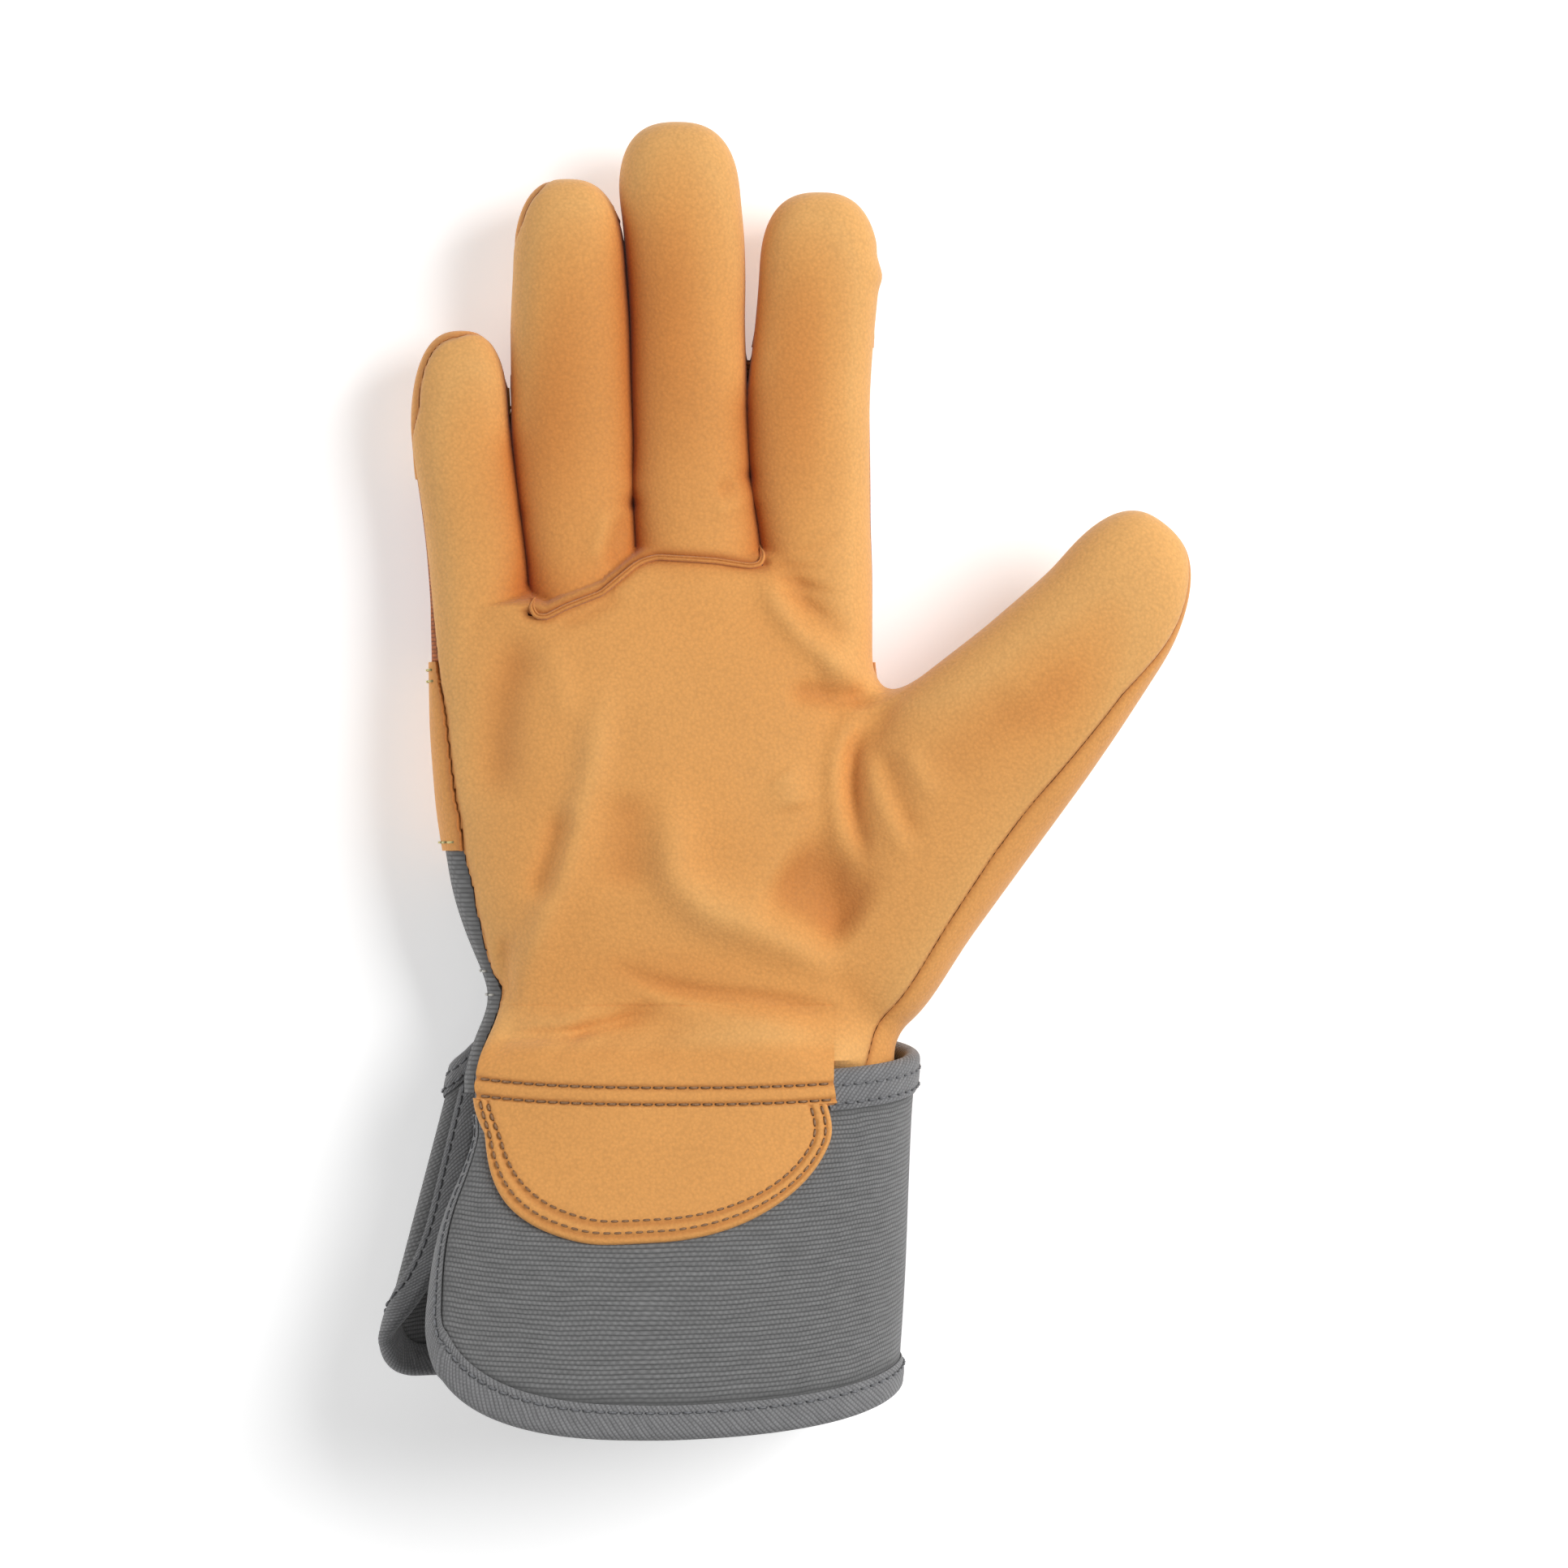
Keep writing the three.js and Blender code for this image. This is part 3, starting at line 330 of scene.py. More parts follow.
def seam_height(x, y):
    """Height of the long side seam: level on the fingers, climbing at the little and the ring
    finger's tips and over the little finger's side of the palm, and a sloped plane along the
    thumb."""
    along, across, _, _ = digit_frame(THUMB, x, y)
    left, right, mid, _ = digit_section(THUMB, along)
    slope = np.interp(along, [-35, 18, 42, 61, 82, 95], [0.8, 0.82, 0.73, 0.67, 0.29, 0.2])
    on_thumb = np.maximum(13.0, mid + slope * (across - (left + right) / 2))
    on_palm = 17.0 + (np.interp(y, *PALM_SEAM) - 17.0) * smooth((-50 - x) / 8)
    on_palm = on_palm + 6.0 * smooth((y - 70) / 10) * smooth((-60 - x) / 10)
    on_palm = on_palm + 7.5 * smooth((y - 110) / 9) * smooth((-46 - x) / 6)
    return mix(on_palm, on_thumb, smooth((across + 24) / 10))


# Pinches and swellings of the fingers' flanks: place, reach along each axis and height
DENTS = [
    ((-32.4, 59.2, 20), (2.4, 1.6, 9), -0.6), ((-33.0, 63.6, 20), (3.0, 2.2, 8), 0.4),
    ((-8.0, 65.2, 20), (2.4, 1.7, 9), -0.5), ((-7.2, 60.6, 20), (3.0, 2.0, 8), 0.4),
    ((20.4, 107.4, 18), (3.0, 2.2, 9), 0.7), ((19.0, 112.0, 18), (3.0, 1.6, 9), -0.3),
    ((-54.6, 57.0, 20), (2.4, 2.0, 8), -0.2),
]


def dents(x, y, z):
    """Height of the pinches and swellings: each is a bell about its place."""
    total = 0.0
    for middle, reach, height in DENTS:
        far = sum(((a - m) / r) ** 2 for a, m, r in zip((x, y, z), middle, reach))
        total = total + height * np.exp(-far)
    return total


def relief(x, y):
    """Height of the folds over plan points: each is a bell across its own rounded line, fading out
    towards the line's ends."""
    total = np.zeros(x.shape)
    for line, width, height in FOLDS:
        d, share, _ = line_distance(x, y, rounded_line(line, 1.0, 2.5))
        ends = smooth(share / 0.3 + 0.1) * smooth((1 - share) / 0.3 + 0.1)
        total += FOLD_DEPTH * height * ends * bump(d, width)
    return total


PLAN_LOW, PLAN_STEP, PLAN_SIZE = (-92.0, -70.0), 0.5, (370, 432)


def plan_map(function):
    """Values of a function of plan points on a half-millimetre grid, to be looked up often."""
    x = PLAN_LOW[0] + PLAN_STEP * np.arange(PLAN_SIZE[0])
    y = PLAN_LOW[1] + PLAN_STEP * np.arange(PLAN_SIZE[1])
    return function(*np.meshgrid(x, y, indexing="ij"))


def look_up(table, x, y, step=PLAN_STEP):
    """Value of a plan map, straight between its four nearest grid points."""
    u = np.clip((x - PLAN_LOW[0]) / step, 0, table.shape[0] - 1.001)
    v = np.clip((y - PLAN_LOW[1]) / step, 0, table.shape[1] - 1.001)
    i, j = u.astype(int), v.astype(int)
    u, v = u - i, v - j
    return ((table[i, j] * (1 - u) + table[i + 1, j] * u) * (1 - v)
            + (table[i, j + 1] * (1 - u) + table[i + 1, j + 1] * u) * v)


def moved(line, shift):
    """A plan line moved sideways."""
    return [(x + shift, y) for x, y in line]


# The palm panel reaches a little between the fingers, and each of the two middle fronts a little
# over its own side lines, so that neighbours press together in a sharp valley
PALM_OUTLINE = WELT_CUT + moved(MIDDLE_INDEX_SPLIT, -2.2) + moved(LITTLE_RING_SPLIT, 2.2)[::-1]
RING_OUTLINE = WELT_CUT[:6] + moved(RING_MIDDLE_SPLIT, 0.6) + moved(LITTLE_RING_SPLIT, -0.6)[::-1]
MIDDLE_OUTLINE = WELT_CUT[5:] + moved(MIDDLE_INDEX_SPLIT, 0.6) + moved(RING_MIDDLE_SPLIT, -0.6)[::-1]


def finger_columns():
    """Plan outline of each finger's column, for the caps on the back."""
    far = [(-100, 150), (-100, 60)]
    return dict(
        little=[(-55.4, 55)] + LITTLE_RING_SPLIT[1:] + far,
        ring=LITTLE_RING_SPLIT[2:] + RING_MIDDLE_SPLIT[::-1][:10],
        middle=RING_MIDDLE_SPLIT[2:] + MIDDLE_INDEX_SPLIT[::-1][:6],
        index=MIDDLE_INDEX_SPLIT[2:][::-1] + [(40, 60), (40, 150)])


RELIEF = plan_map(relief)
WELT_SEAM = plan_map(lambda x, y: line_distance(x, y, WELT_CUT)[0])
PALM_CUT = plan_map(lambda x, y: -inside_distance(x, y, PALM_OUTLINE))
RING_CUT = plan_map(lambda x, y: inside_distance(x, y, RING_OUTLINE))
MIDDLE_CUT = plan_map(lambda x, y: inside_distance(x, y, MIDDLE_OUTLINE))
CREVICE = plan_map(lambda x, y: np.min([line_distance(x, y, line)[0] for line in (
    LITTLE_RING_SPLIT[:4], RING_MIDDLE_SPLIT[:7], MIDDLE_INDEX_SPLIT[:5])], axis=0))
THUMB_SEAM = plan_map(lambda x, y: np.prod(line_distance(x, y, THUMB_SIDE)[::2], axis=0))


def side_seam(x, y, z):
    """Distance above the long side seam."""
    return z - seam_height(x, y)


def hand_field(x, y, z, part="all"):
    """Signed distance outside the hand of the glove: digits and palm joined softly, the folds
    added on the palm side, grooves along the seams, and the underside pressed flat. For a part of
    the palm side, the fingers that it doesn't belong to, and the palm too, sink out of the way
    above the welt, so that its own fingers keep their whole round flanks."""
    sunk = 0.0
    if part != "all":
        sunk = 14.0 * smooth((y - np.interp(x, *np.array(WELT_CUT).T) - 1.5) / 6.0)
    own = dict(all=(LITTLE, RING, MIDDLE, INDEX), palm=(LITTLE, INDEX), ring=(RING,), middle=(MIDDLE,))[part]
    fingers = None
    for digit in (LITTLE, RING, MIDDLE, INDEX):
        one = digit_field(digit, x, y, z)
        if digit not in own:
            one = one[0] + sunk, one[1]
        fingers = one if fingers is None else fillet(fingers, one, 1.1, 2.2)
    rest = digit_field(PALM, x, y, z)
    palm = fillet(fingers, (rest[0] + sunk, rest[1]), 6.0, 7.0)
    field, normal = fillet(palm, digit_field(THUMB, x, y, z), 9.0, 12.0)
    above = side_seam(x, y, z)
    field = field - look_up(RELIEF, x, y) * smooth((z - 17.0) / 9.0) * np.clip(normal[2], 0, 1)
    field = field - dents(x, y, z)
    field = field + 0.5 * bump(above, 1.0) * smooth((look_up(CREVICE, x, y) - 1.5) / 3.0)
    field = field + 0.6 * bump(look_up(WELT_SEAM, x, y), 1.3) * smooth(above / 3.0)
    field = field + 0.4 * bump(look_up(THUMB_SEAM, x, y), 1.0) * smooth(-above / 3.0)
    floor = STRAP_PROUD - z
    k = 1.6
    h = np.clip(0.5 + 0.5 * (field - floor) / k, 0, 1)
    return floor + (field - floor) * h + k * h * (1 - h)


def field_normal(field, points, step=0.05):
    """Slope of a field at points, from differences along the three axes."""
    slope = np.empty_like(points)
    for axis in range(3):
        move = np.zeros(3)
        move[axis] = step
        slope[:, axis] = (field(*(points + move).T) - field(*(points - move).T)) / (2 * step)
    return slope


def settle(field, points):
    """Move points along the field's slope, twice, to where the field is nought."""
    for _ in range(2):
        slope = field_normal(field, points)
        shift = -field(*points.T) / np.maximum(np.sum(slope ** 2, axis=1), 0.05)
        points = points + np.clip(shift, -0.6, 0.6)[:, None] * slope
    return points


def lattice_values(field, low, high, step):
    """A field's values on a lattice: close to the skin at every point, elsewhere at every fourth."""
    coarse = 4
    count = [coarse * int(math.ceil((b - a) / step / coarse)) + 1 for a, b in zip(low, high)]
    axes = [a + step * np.arange(n) for a, n in zip(low, count)]
    value = field(*np.meshgrid(*[a[::coarse] for a in axes], indexing="ij"))
    for axis in range(3):
        value = np.repeat(value, coarse, axis=axis)
        value = np.take(value, np.clip(np.arange(count[axis]) + coarse // 2, 0, value.shape[axis] - 1), axis)
    value = value.astype(np.float32)
    near = np.argwhere(np.abs(value) < 1.9 * coarse * step)
    value[tuple(near.T)] = field(*(np.array(low) + near * step).T)
    return value


def lattice_points(value):
    """One point in every cell that the skin passes through, at the mean of its crossings of the
    cell's edges, in steps of the lattice, and the number of each cell's point."""
    corners = [(i, j, k) for i in (0, 1) for j in (0, 1) for k in (0, 1)]
    n = np.array(value.shape) - 1
    count = sum((value < 0)[i:i + n[0], j:j + n[1], k:k + n[2]].astype(np.int8) for i, j, k in corners)
    active = (count > 0) & (count < 8)
    cells = np.argwhere(active)
    number = -np.ones(active.shape, np.int64)
    number[active] = np.arange(len(cells))
    total = np.zeros((len(cells), 3))
    crossings = np.zeros(len(cells))
    for a in corners:
        for axis in range(3):
            if a[axis]:
                continue
            b = list(a)
            b[axis] = 1
            va, vb = (value[tuple((cells + c).T)].astype(float) for c in (a, b))
            hit = (va < 0) != (vb < 0)
            place = np.tile(np.array(a, float), (len(cells), 1))
            place[:, axis] = np.where(hit, va / np.where(hit, va - vb, 1), 0)
            total += np.where(hit[:, None], place, 0)
            crossings += hit
    return cells + total / crossings[:, None], number


def lattice_quads(inside, number):
    """One quad across every lattice edge that the skin crosses, between the points of the four
    cells about it."""
    n = number.shape
    quads = []
    for axis in range(3):
        u, v = [(1, 2), (2, 0), (0, 1)][axis]
        spots = np.argwhere(np.diff(inside, axis=axis))
        spots = spots[(spots[:, u] > 0) & (spots[:, v] > 0) & (spots[:, u] < n[u]) & (spots[:, v] < n[v])]
        ring = []
        for du, dv in ((1, 1), (0, 1), (0, 0), (1, 0)):
            cell = spots.copy()
            cell[:, u] -= du
            cell[:, v] -= dv
            ring.append(number[tuple(cell.T)])
        quad = np.stack(ring, axis=1)
        out = inside[tuple(spots.T)]
        quad[~out] = quad[~out][:, ::-1]
        quads.append(quad)
    return np.concatenate(quads)


def skin_of(field, low, high, step):
    """Skin where a field is nought, from a lattice. Its points are evened out and settled on the
    field, and its quads are divided along their shorter diagonals."""
    value = lattice_values(field, low, high, step)
    points, number = lattice_points(value)
    points = np.array(low) + points * step
    quads = lattice_quads(value < 0, number)
    edges = np.concatenate([quads[:, [0, 1]], quads[:, [1, 2]], quads[:, [2, 3]], quads[:, [3, 0]]])
    degree = np.bincount(edges.ravel(), minlength=len(points))
    for _ in range(2):
        middle = np.zeros_like(points)
        for axis in range(3):
            middle[:, axis] = (np.bincount(edges[:, 0], points[edges[:, 1], axis], len(points))
                               + np.bincount(edges[:, 1], points[edges[:, 0], axis], len(points)))
        middle = np.where(degree[:, None] > 0, middle / np.maximum(degree, 1)[:, None], points)
        points = settle(field, mix(points, middle, 0.5))
    first = np.sum((points[quads[:, 0]] - points[quads[:, 2]]) ** 2, axis=1)
    second = np.sum((points[quads[:, 1]] - points[quads[:, 3]]) ** 2, axis=1)
    short = (first <= second)[:, None]
    one = np.where(short, quads[:, [0, 1, 2]], quads[:, [0, 1, 3]])
    two = np.where(short, quads[:, [0, 2, 3]], quads[:, [1, 2, 3]])
    return points, np.concatenate([one, two])


def tidy(points, triangles):
    """Leave out points that no triangle uses, and triangles with no area."""
    a, b, c = (points[triangles[:, k]] for k in range(3))
    area = np.linalg.norm(np.cross(b - a, c - a), axis=1)
    triangles = triangles[area > 1e-7]
    used, inverse = np.unique(triangles, return_inverse=True)
    return points[used], inverse.reshape(-1, 3)


def cut(points, triangles, edge, snap=0.25):
    """Keep the part of a mesh where edge is above nought. edge is a function of x, y and z. Points
    that stand close to the line are first moved onto it, and then each triangle that it crosses
    keeps the corners on the near side, with one new point where each side crosses the line."""
    value = edge(*points.T)
    near = np.abs(value) < snap
    if near.any():
        slope = field_normal(edge, points[near])
        size = np.maximum(np.sum(slope ** 2, axis=1), 0.2)
        points = points.copy()
        points[near] -= (value[near] / size)[:, None] * slope
        value = np.where(near, 0.0, value)
    state = np.sign(value)[triangles]
    kept = state.max(axis=1) > 0
    whole = triangles[kept & (state.min(axis=1) >= 0)]
    crossed = triangles[kept & (state.min(axis=1) < 0)]
    sides = np.sort(np.stack([crossed, np.roll(crossed, -1, axis=1)], axis=-1), axis=-1)
    crosses = value[sides[..., 0]] * value[sides[..., 1]] < 0
    ends, back = np.unique(sides[crosses], axis=0, return_inverse=True)
    first, second = ends.T
    t = value[first] / (value[first] - value[second])
    fresh = points[first] + (points[second] - points[first]) * t[:, None]
    # Each crossed triangle's outline, corner and crossing by turns, with -1 for what is left out
    loop = np.full((len(crossed), 6), -1)
    loop[:, ::2] = np.where(value[crossed] >= 0, crossed, -1)
    middle = loop[:, 1::2]
    middle[crosses] = len(points) + back.reshape(-1)
    loop = np.take_along_axis(loop, np.argsort(loop < 0, axis=1, kind="stable"), axis=1)
    four = loop[loop[:, 3] >= 0]
    made = [whole, loop[:, :3], four[:, [0, 2, 3]]]
    return tidy(np.concatenate([points, fresh]), np.concatenate(made))


def vertex_normals(points, triangles):
    """Mean of the faces' normals round each point, weighted by their area."""
    a, b, c = (points[triangles[:, k]] for k in range(3))
    face = np.cross(b - a, c - a)
    normal = np.zeros_like(points)
    for axis in range(3):
        for k in range(3):
            normal[:, axis] += np.bincount(triangles[:, k], face[:, axis], len(points))
    return unit(normal)


def shell_of(points, triangles, wall):
    """Give a skin a thickness inwards: its copy at the wall's depth, turned round, and a strip of
    quads along every open edge."""
    normal = vertex_normals(points, triangles)
    count = len(points)
    inner = points - normal * wall
    edges = np.concatenate([triangles[:, [0, 1]], triangles[:, [1, 2]], triangles[:, [2, 0]]])
    key = np.sort(edges, axis=1)
    key = key[:, 0] * count + key[:, 1]
    _, index, times = np.unique(key, return_index=True, return_counts=True)
    rim = edges[index[times == 1]]
    strip = np.stack([rim[:, 1], rim[:, 0], rim[:, 0] + count, rim[:, 1] + count], axis=1)
    return (np.concatenate([points, inner]),
            np.concatenate([triangles, triangles[:, ::-1] + count, strip[:, [0, 1, 2]], strip[:, [0, 2, 3]]]))


# The cuff is one sheet bent into a ring, as in the solids. around runs from the palm side's free
# edge over the thumb side and the back to the back side's free edge, and down from the top edge
# to the bottom edge.
CUFF_TOP = dict(x=-21.6, a=48.6, z=22.6, b=20.5)
CUFF_BOTTOM = dict(x=-32.2, a=55.4, z=29.6, b=27.5)
CUFF_LENGTH, CUFF_HEIGHT = 255.0, 73.0
CUFF_ROUNDNESS = 2.45
PALM_END, BACK_END, BACK_ANGLE = 8.2, 12.0, -165.0
PALM_CORNER, BACK_CORNER = (48.0, 24.0), (30.0, 36.0)
CUFF_HALF = 0.9
PATCH = dict(start=0.028, end=0.292, top=0.085, drop=0.372)
HEM = dict(start=0.0315, end=0.301, bottom=0.0865)
TOP_TAPE = (0.294, 0.989)
EDGE_TAPE_WIDTH, TOP_TAPE_WIDTH = 6.4, 8.0
TAPE_GAP, TAPE_WALL = 0.12, 0.8
# The hem and the patch lie on this height over the middle of the cuff's sheet
LEATHER_LIFT = CUFF_HALF + 0.3
PATCH_WALL = 1.3
RIM_DOWN = 0.012


def round_power(value, exponent):
    """A sine or cosine turned into its superellipse's: its size to the power 2 over the exponent."""
    return np.sign(value) * np.abs(value) ** (2 / exponent)


def ring_point(angle, down):
    """Superellipse round the cuff at an angle in degrees, sized between its top and bottom."""
    at = {key: mix(CUFF_TOP[key], CUFF_BOTTOM[key], down) for key in CUFF_TOP}
    c, s = np.cos(np.radians(angle)), np.sin(np.radians(angle))
    return (at["x"] + at["a"] * round_power(c, CUFF_ROUNDNESS),
            at["z"] + at["b"] * round_power(s, CUFF_ROUNDNESS))


def walk(x, z, heading, turn, radius, distance):
    """Walk a distance that starts on an arc of the given radius and turn, and then goes straight."""
    arc = np.minimum(np.abs(turn) * radius, distance)
    bend = np.sign(turn) * arc / radius
    chord = np.where(arc > 1e-9, 2 * radius * np.sin(np.abs(bend) / 2), 0)
    x = x + chord * np.cos(heading + bend / 2) + (distance - arc) * np.cos(heading + bend)
    z = z + chord * np.sin(heading + bend / 2) + (distance - arc) * np.sin(heading + bend)
    return x, z, heading + bend


def cuff_point(around, down, offset):
    """Point of the cuff's sheet, offset outwards from its middle. Between the free ends it lies on
    the ring, and past them it walks off the ring, turning down or inwards."""
    around, down, offset = np.broadcast_arrays(around, down, offset)
    start, stop = PALM_END / CUFF_LENGTH, 1 - BACK_END / CUFF_LENGTH
    palm_angle = 7.7 * bump(down - 0.19, 0.25) + 10.9 * smooth((down - 0.35) / 0.5)
    palm_angle = 144.5 - palm_angle * smooth(down / 0.2)
    angle = mix(palm_angle, BACK_ANGLE, np.clip((around - start) / (stop - start), 0, 1))
    x, z = ring_point(angle, down)
    nx, nz = ring_point(angle - 0.5, down)
    ring_heading = np.arctan2(nz - z, nx - x)
    turn = (np.radians(86) - ring_heading) * (1 - smooth((down - 0.12) / 1.3))
    px, pz, ph = walk(x, z, ring_heading + np.pi, turn, 1.5, np.maximum(start - around, 0) * CUFF_LENGTH)
    turn = np.radians(mix(22, 12, down)) - ring_heading
    turn = (turn + np.pi) % (2 * np.pi) - np.pi
    bx, bz, bh = walk(x, z, ring_heading, turn, 2.5, np.maximum(around - stop, 0) * CUFF_LENGTH)
    palm, back = around < start, around > stop
    x = np.where(palm, px, np.where(back, bx, x))
    z = np.where(palm, pz, np.where(back, bz, z))
    heading = np.where(palm, ph - np.pi, np.where(back, bh, ring_heading))
    x = x - offset * np.sin(heading)
    z = z + offset * np.cos(heading)
    # The rim dips at the free side and climbs again along the back side's end
    top = -57 - 4.2 * np.sin(np.radians(angle)) - 3.6 * smooth((around - 0.87) / 0.075)
    top = top + 6.4 * smooth((around - 0.952) / 0.04)
    front = np.sin(np.radians(angle * 0.857))
    bottom = -124.9 - 7.4 * (front + np.hypot(front, 0.25)) + 4.3 * smooth((angle + 30) / 150)
    return np.stack([x, mix(top, bottom, down), np.maximum(2.15 - offset, z)], axis=-1)


def cuff_reach(around, inset):
    """How far down the sheet reaches at a place round it: its free corners are quarter ellipses."""
    from_end = np.minimum(around, 1 - around) * CUFF_LENGTH
    wide = np.where(around < 0.5, PALM_CORNER[0], BACK_CORNER[0])
    high = np.where(around < 0.5, PALM_CORNER[1], BACK_CORNER[1])
    into = np.clip((wide - from_end) / (wide - inset), 0, 1)
    return CUFF_HEIGHT - high + (high - inset) * np.sqrt(1 - into ** 2)


def grid_faces(rows, columns, closed=False):
    """Quads between the points of a grid that lie row after row."""
    i, j = np.meshgrid(np.arange(rows - 1), np.arange(columns if closed else columns - 1), indexing="ij")
    right = (j + 1) % columns
    faces = np.stack([i * columns + j, i * columns + right, (i + 1) * columns + right,
                      (i + 1) * columns + j], axis=-1)
    return faces.reshape(-1, 4)


def closed_sheet(outer, inner):
    """Close two facing grids of points into one thin body, with a strip along each side. Rows run
    down and columns to the right, seen from outside."""
    rows, columns = outer.shape[:2]
    count = rows * columns
    face = grid_faces(rows, columns)
    index = np.arange(count).reshape(rows, columns)
    loop = np.concatenate([index[0, :], index[1:, -1], index[-1, -2::-1], index[-2:0:-1, 0]])
    after = np.roll(loop, -1)
    strip = np.stack([loop, after, after + count, loop + count], axis=1)
    faces = np.concatenate([face[:, ::-1], face + count, strip])
    return np.concatenate([outer.reshape(-1, 3), inner.reshape(-1, 3)]), faces


def skin_rings(rings):
    """Skin over closed rings of points, with a fan over each end."""
    stations, around = rings.shape[:2]
    k = np.arange(around)
    after = (k + 1) % around
    total = stations * around
    last = total - around
    points = np.concatenate([rings.reshape(-1, 3), rings[[0, -1]].mean(axis=1)])
    return points, [grid_faces(stations, around, closed=True),
                    np.stack([np.full(around, total), after, k], 1),
                    np.stack([np.full(around, total + 1), last + k, last + after], 1)]


def signed_volume(points, faces):
    """Volume inside closed faces, below nought where they face inwards."""
    total = 0.0
    for group in faces:
        a = points[group[:, 0]]
        for k in range(1, group.shape[1] - 1):
            b, c = points[group[:, k]], points[group[:, k + 1]]
            total += np.sum(np.cross(a, b) * c) / 6
    return total


def put(name, points, faces, kind, nodes, attributes=None, uv=None):
    """Make a piece from millimetre points and arrays of faces. Faces that turn out to point
    inwards all round are turned. It rides on the glove and takes the place of the named nodes.
    Its finish, in its one slot, goes by its kind."""
    faces = [f for f in (faces if isinstance(faces, list) else [faces]) if len(f)]
    if signed_volume(points, faces) < 0:
        faces = [f[:, ::-1] for f in faces]
    mesh = bpy.data.meshes.new(name)
    loops = np.concatenate([f.ravel() for f in faces]).astype(np.int32)
    sizes = np.concatenate([np.full(len(f), f.shape[1]) for f in faces])
    starts = np.concatenate([[0], np.cumsum(sizes)[:-1]]).astype(np.int32)
    mesh.vertices.add(len(points))
    mesh.vertices.foreach_set("co", (points * MM).astype(np.float32).ravel())
    mesh.loops.add(len(loops))
    mesh.loops.foreach_set("vertex_index", loops)
    mesh.polygons.add(len(sizes))
    mesh.polygons.foreach_set("loop_start", starts)
    mesh.polygons.foreach_set("use_smooth", np.ones(len(sizes), bool))
    mesh.update(calc_edges=True)
    mesh.validate()
    mesh.set_sharp_from_angle(angle=math.radians(40))
    for key, values in (attributes or {}).items():
        layer = mesh.attributes.new(key, "FLOAT", "POINT")
        layer.data.foreach_set("value", np.asarray(values, np.float32))
    if uv is not None:
        layer = mesh.uv_layers.new(name="cloth")
        index = np.empty(len(mesh.loops), np.int32)
        mesh.loops.foreach_get("vertex_index", index)
        layer.data.foreach_set("uv", (uv[index] * MM).astype(np.float32).ravel())
    mesh.materials.append(finish(kind))
    piece = bpy.data.objects.new(name, mesh)
    bpy.context.collection.objects.link(piece)
    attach(piece, "root")
    if nodes:
        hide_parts(*nodes)


HAND = {}


def hand_skin(part):
    """The skin of a part of the hand, cut along the side seam, worked out once for all the pieces
    cut from it."""
    if part not in HAND:
        step = 0.85
        low, high = {"all": ((-84, -66, -1), (91, 143, 43)), "palm": ((-84, -66, 8), (91, 132, 48)),
                     "ring": ((-62, 30, 8), (-26, 133, 40)), "middle": ((-40, 38, 8), (1, 145, 42))}[part]
        skin = skin_of(lambda x, y, z: hand_field(x, y, z, part), low, high, step)
        way = -1 if part == "all" else 1
        HAND[part] = cut(*skin, lambda x, y, z: way * side_seam(x, y, z) - 0.1)
    return HAND[part]


def seam_shade(points):
    """Painted shade, from 0 to 1, close to the seams and the welt, between the fingers and down in deep
    folds.
    """
    x, y, z = points.T
    above = side_seam(x, y, z)
    shade = 0.55 * bump(above, 0.8) * smooth((look_up(CREVICE, x, y) - 1.5) / 3.0)
    # The welt's shadow falls on the fingers above it more than on the palm below it
    from_welt = look_up(WELT_SEAM, x, y)
    finger_side = y > np.interp(x, *np.array(WELT_CUT).T)
    contact = np.where(finger_side, bump(from_welt, 1.5), 0.5 * bump(from_welt, 1.1))
    shade = np.maximum(shade, contact * smooth(above / 3))
    shade = np.maximum(shade, 0.4 * bump(look_up(CREVICE, x, y), 0.7))
    shade = np.maximum(shade, np.clip(-look_up(RELIEF, x, y) / 9.0, 0, 0.25) * smooth(above / 6))
    return shade


def hand_piece(name, skin, wall, kind, nodes, lift=None, lowest=0.2, palm_side=False):
    """Turn a cut part of the hand's skin into a closed piece of leather or canvas. lift raises it
    off the skin, down to the lowest height."""
    points, triangles = skin
    shade = seam_shade(points)
    if lift is not None:
        normal = vertex_normals(points, triangles)
        points = points + normal * lift(*points.T)[:, None]
        points[:, 2] = np.maximum(points[:, 2], lowest)
    uv = None
    if kind != "leather":
        # Cloth is laid flat from the middle of the hand and up its flanks
        x, y, z = points.T
        left, right, _, _ = digit_section(PALM, np.clip(y, -62, 51))
        uv = np.stack([x + np.sign(x - (left + right) / 2) * np.maximum(z - 4.0, 0), y], axis=1)
        uv = np.concatenate([uv, uv])
    points, triangles = shell_of(points, triangles, wall)
    # Painted light and shade on the palm side's pieces, a level tone on the others
    hollow = hollow_shade(points) if palm_side else np.full(len(points), 0.5)
    put(name, points, triangles, kind, nodes, dict(seam=np.concatenate([shade, shade]), hollow=hollow), uv)


def halve(field, low, high, rounds):
    """Close in on where a field turns from below nought at low to above nought at high."""
    for _ in range(rounds):
        middle = (low + high) / 2
        out = field(middle) > 0
        high = np.where(out, middle, high)
        low = np.where(out, low, middle)
    return low, high


def palm_height(x, y):
    """Height of the palm side over plan points."""
    low, high = np.full(x.shape, 16.0), np.full(x.shape, PALM_TOP)
    low, high = halve(lambda z: hand_field(x, y, z, "palm"), low, high, 22)
    return (low + high) / 2


HOLLOW_STEP = 1.5
PALM_TOP = 46.0
